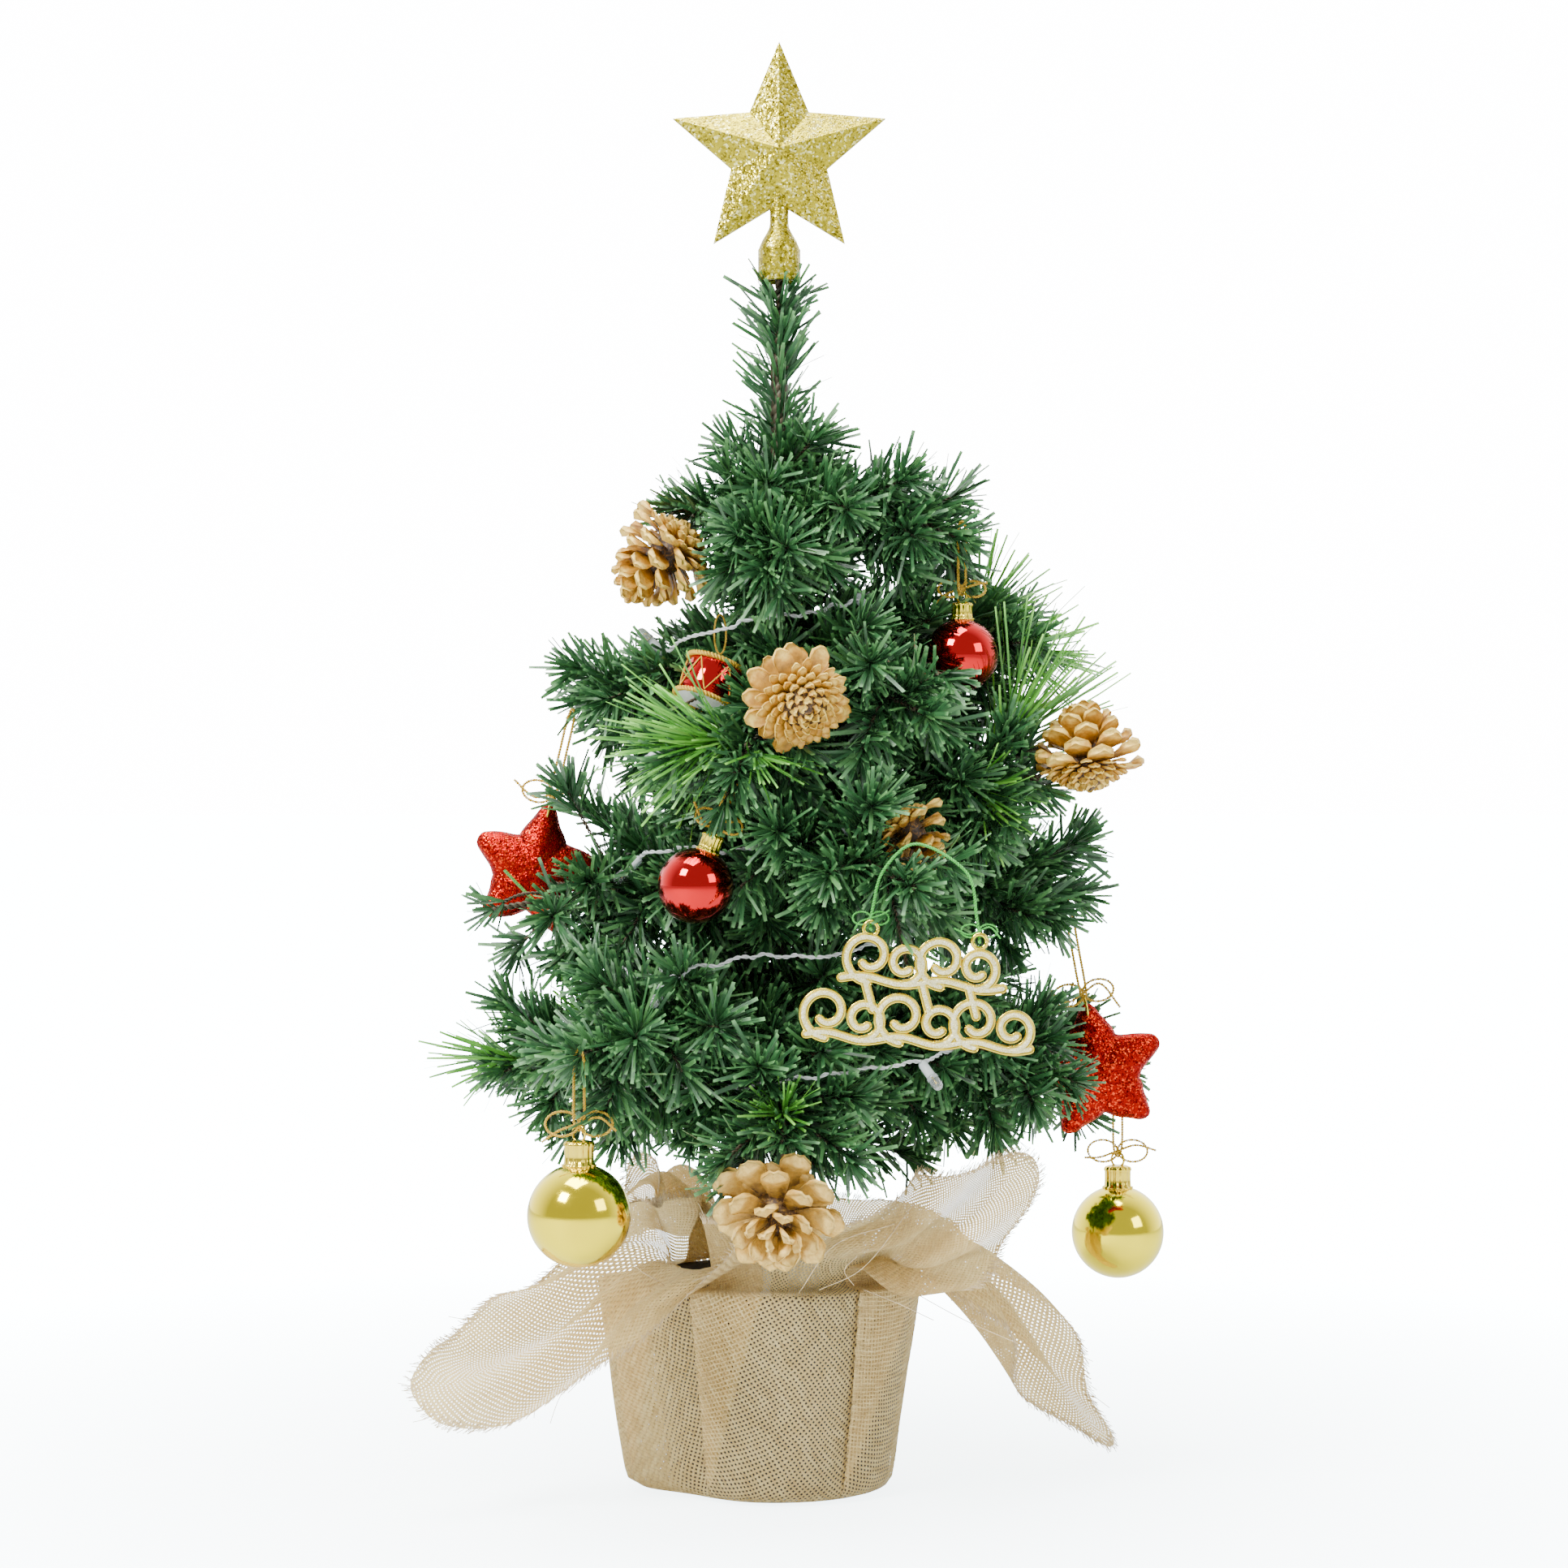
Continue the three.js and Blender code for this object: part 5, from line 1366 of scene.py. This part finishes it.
def cloth_point(phi, share):
    """A point of the cloth in millimetres and its place on the flat cloth, at an azimuth.

    The share runs from 0 at the cloth's middle to 1 at the pot's rim and 2 at the cloth's edge."""
    degrees = math.degrees(phi)
    nearest = min(CORNERS, key=lambda corner: abs(off_angle(degrees, corner[0])))
    delta = math.radians(off_angle(degrees, nearest[0]))
    edge = CLOTH_SIDE / 2 / max(abs(math.cos(delta - math.pi / 4)), abs(math.sin(delta - math.pi / 4)))
    rho = RIM_FLAT * share if share <= 1 else mix(RIM_FLAT, edge, share - 1)
    flat = (rho * math.cos(phi), rho * math.sin(phi))
    if rho < UNDER_POT:
        return np.array([flat[0], flat[1], WALL[0][2]]), flat
    radius, z = radius_and_height(WALL, min(rho, RIM_FLAT))
    theta, layer = pleated(phi, min(rho, RIM_FLAT), radius)
    depth = PLEAT_DEPTH * layer * smooth((rho - 44) / 12)
    bulge = LOOSE_FOLD["depth"] * math.exp(-(off_angle(math.degrees(theta), LOOSE_FOLD["at"]) / 19) ** 2)
    r = radius + depth + bulge * float(smooth((rho - UNDER_POT) / 11)) ** 0.7
    if share <= 1:
        r += 0.5 * (0.5 * math.sin(3 * theta + rho / 17) + 0.35 * math.sin(7 * theta - rho / 9))
        return np.array([r * math.cos(theta), r * math.sin(theta), z]), flat
    over = rho - RIM_FLAT
    ruffle = math.sin(9 * phi + 0.7) * 0.6 + math.sin(17 * phi) * 0.4
    collar = collar_point(theta, over, layer, ruffle, bulge)
    reach = CLOTH_SIDE / math.sqrt(2) - RIM_FLAT
    wing = corner_point(nearest, rho * math.cos(delta) - RIM_FLAT, rho * math.sin(delta), reach)
    pull = float(smooth((40 - abs(math.degrees(delta))) / 17)) * float(smooth((over - 24) / 26))
    return mix(collar, wing, pull), flat


def relaxed(grid, inner):
    """The cloth with its part over the rim smoothed a little, along it and round it."""
    for _ in range(5):
        soft = grid.copy()
        soft[inner:-1] = 0.25 * (grid[inner - 1:-2] + grid[inner + 1:]) + 0.5 * grid[inner:-1]
        over = soft[inner:]
        soft[inner:] = 0.5 * over + 0.25 * (np.roll(over, 1, 1) + np.roll(over, -1, 1))
        grid = soft
    return grid


def thread_widths(grid, inner):
    """The cloth's tint: its weave is closed on the loose fold, a little open on its wings, open elsewhere."""
    row = np.arange(len(grid))[:, None]
    angle = np.degrees(np.arctan2(grid[..., 1], grid[..., 0]))
    closed = np.exp(-(off_angle(angle, LOOSE_FOLD["at"]) / 26) ** 4) * (row < inner)
    return np.maximum(mix(TINT_OPEN, TINT_CLOSED, closed), np.where(row > inner + 5, TINT_WING, TINT_OPEN))


def fray(bits, rng, edge, inside):
    """Loose fibres all along the cloth's edge, from the row of points just inside it."""
    for j, (a, b) in enumerate(zip(edge, inside)):
        for _ in range(4):
            out = unit(a - b) + rng.normal(0, 0.07, 3)
            long = rng.uniform(1.6, 3.6) if rng.random() < 0.985 else rng.uniform(5, 11)
            start = mix(a, edge[(j + 1) % len(edge)], rng.random())
            end = start + out * long
            bend = rng.normal(0, 0.16, 3) * long
            path = curve_through([b, start, mix(start, end, 0.5) + bend * 0.4, end + bend], 6)
            path[:, 2] = np.maximum(path[:, 2], 0.6)
            tube(bits, path * MM, FRAY_RADIUS["edge"] * MM, 3)


def build_burlap():
    around, inner, outer = CLOTH_GRID.values()
    shares = [*np.linspace(0.02, 1, inner), *np.linspace(1, 2, outer + 1)[1:]]
    grid = np.empty((len(shares), around, 3))
    flat = np.empty((len(shares), around, 2))
    for i, share in enumerate(shares):
        for j in range(around):
            grid[i, j], flat[i, j] = cloth_point(TURN * j / around, share)
    grid = relaxed(grid, inner)
    bits, fringe = Bits(), Bits()
    faces = grid_faces(len(shares), around, closed=True) + [tuple(range(around))[::-1]]
    bits.add(grid * MM, faces, flat, thread_widths(grid, inner).ravel())
    cloth = bits.piece("burlap_cloth", BURLAP, "base", "burlap", replaces=["burlap_wrap", "burlap_collar"])
    fray(fringe, seeded("fringe threads"), grid[-1], grid[-2])
    for passed in LOOSE_THREADS:
        tube(fringe, curve_through(passed, 24) * MM, FRAY_RADIUS["loose"] * MM, 4)
    threads = fringe.piece("burlap_fringe", FRAY, "base", "burlap")


# ---- assembly ----
add_camera()
add_studio()
build_string()
build_trunk()
for branch, facts in BRANCHES.items():
    build_branch(branch, *facts)
for bauble, radius in BAUBLES.items():
    red = bauble.startswith("red")
    build_bauble(bauble, radius, RED_FOIL if red else GOLD_FOIL, "red_foil" if red else "gold_foil")
for star, size in RED_STARS.items():
    build_red_star(star, size)
for cone, facts in CONES.items():
    build_cone(cone, **facts)
build_drum()
build_plaque()
build_topper()
build_pot()
build_battery_case()
build_burlap()
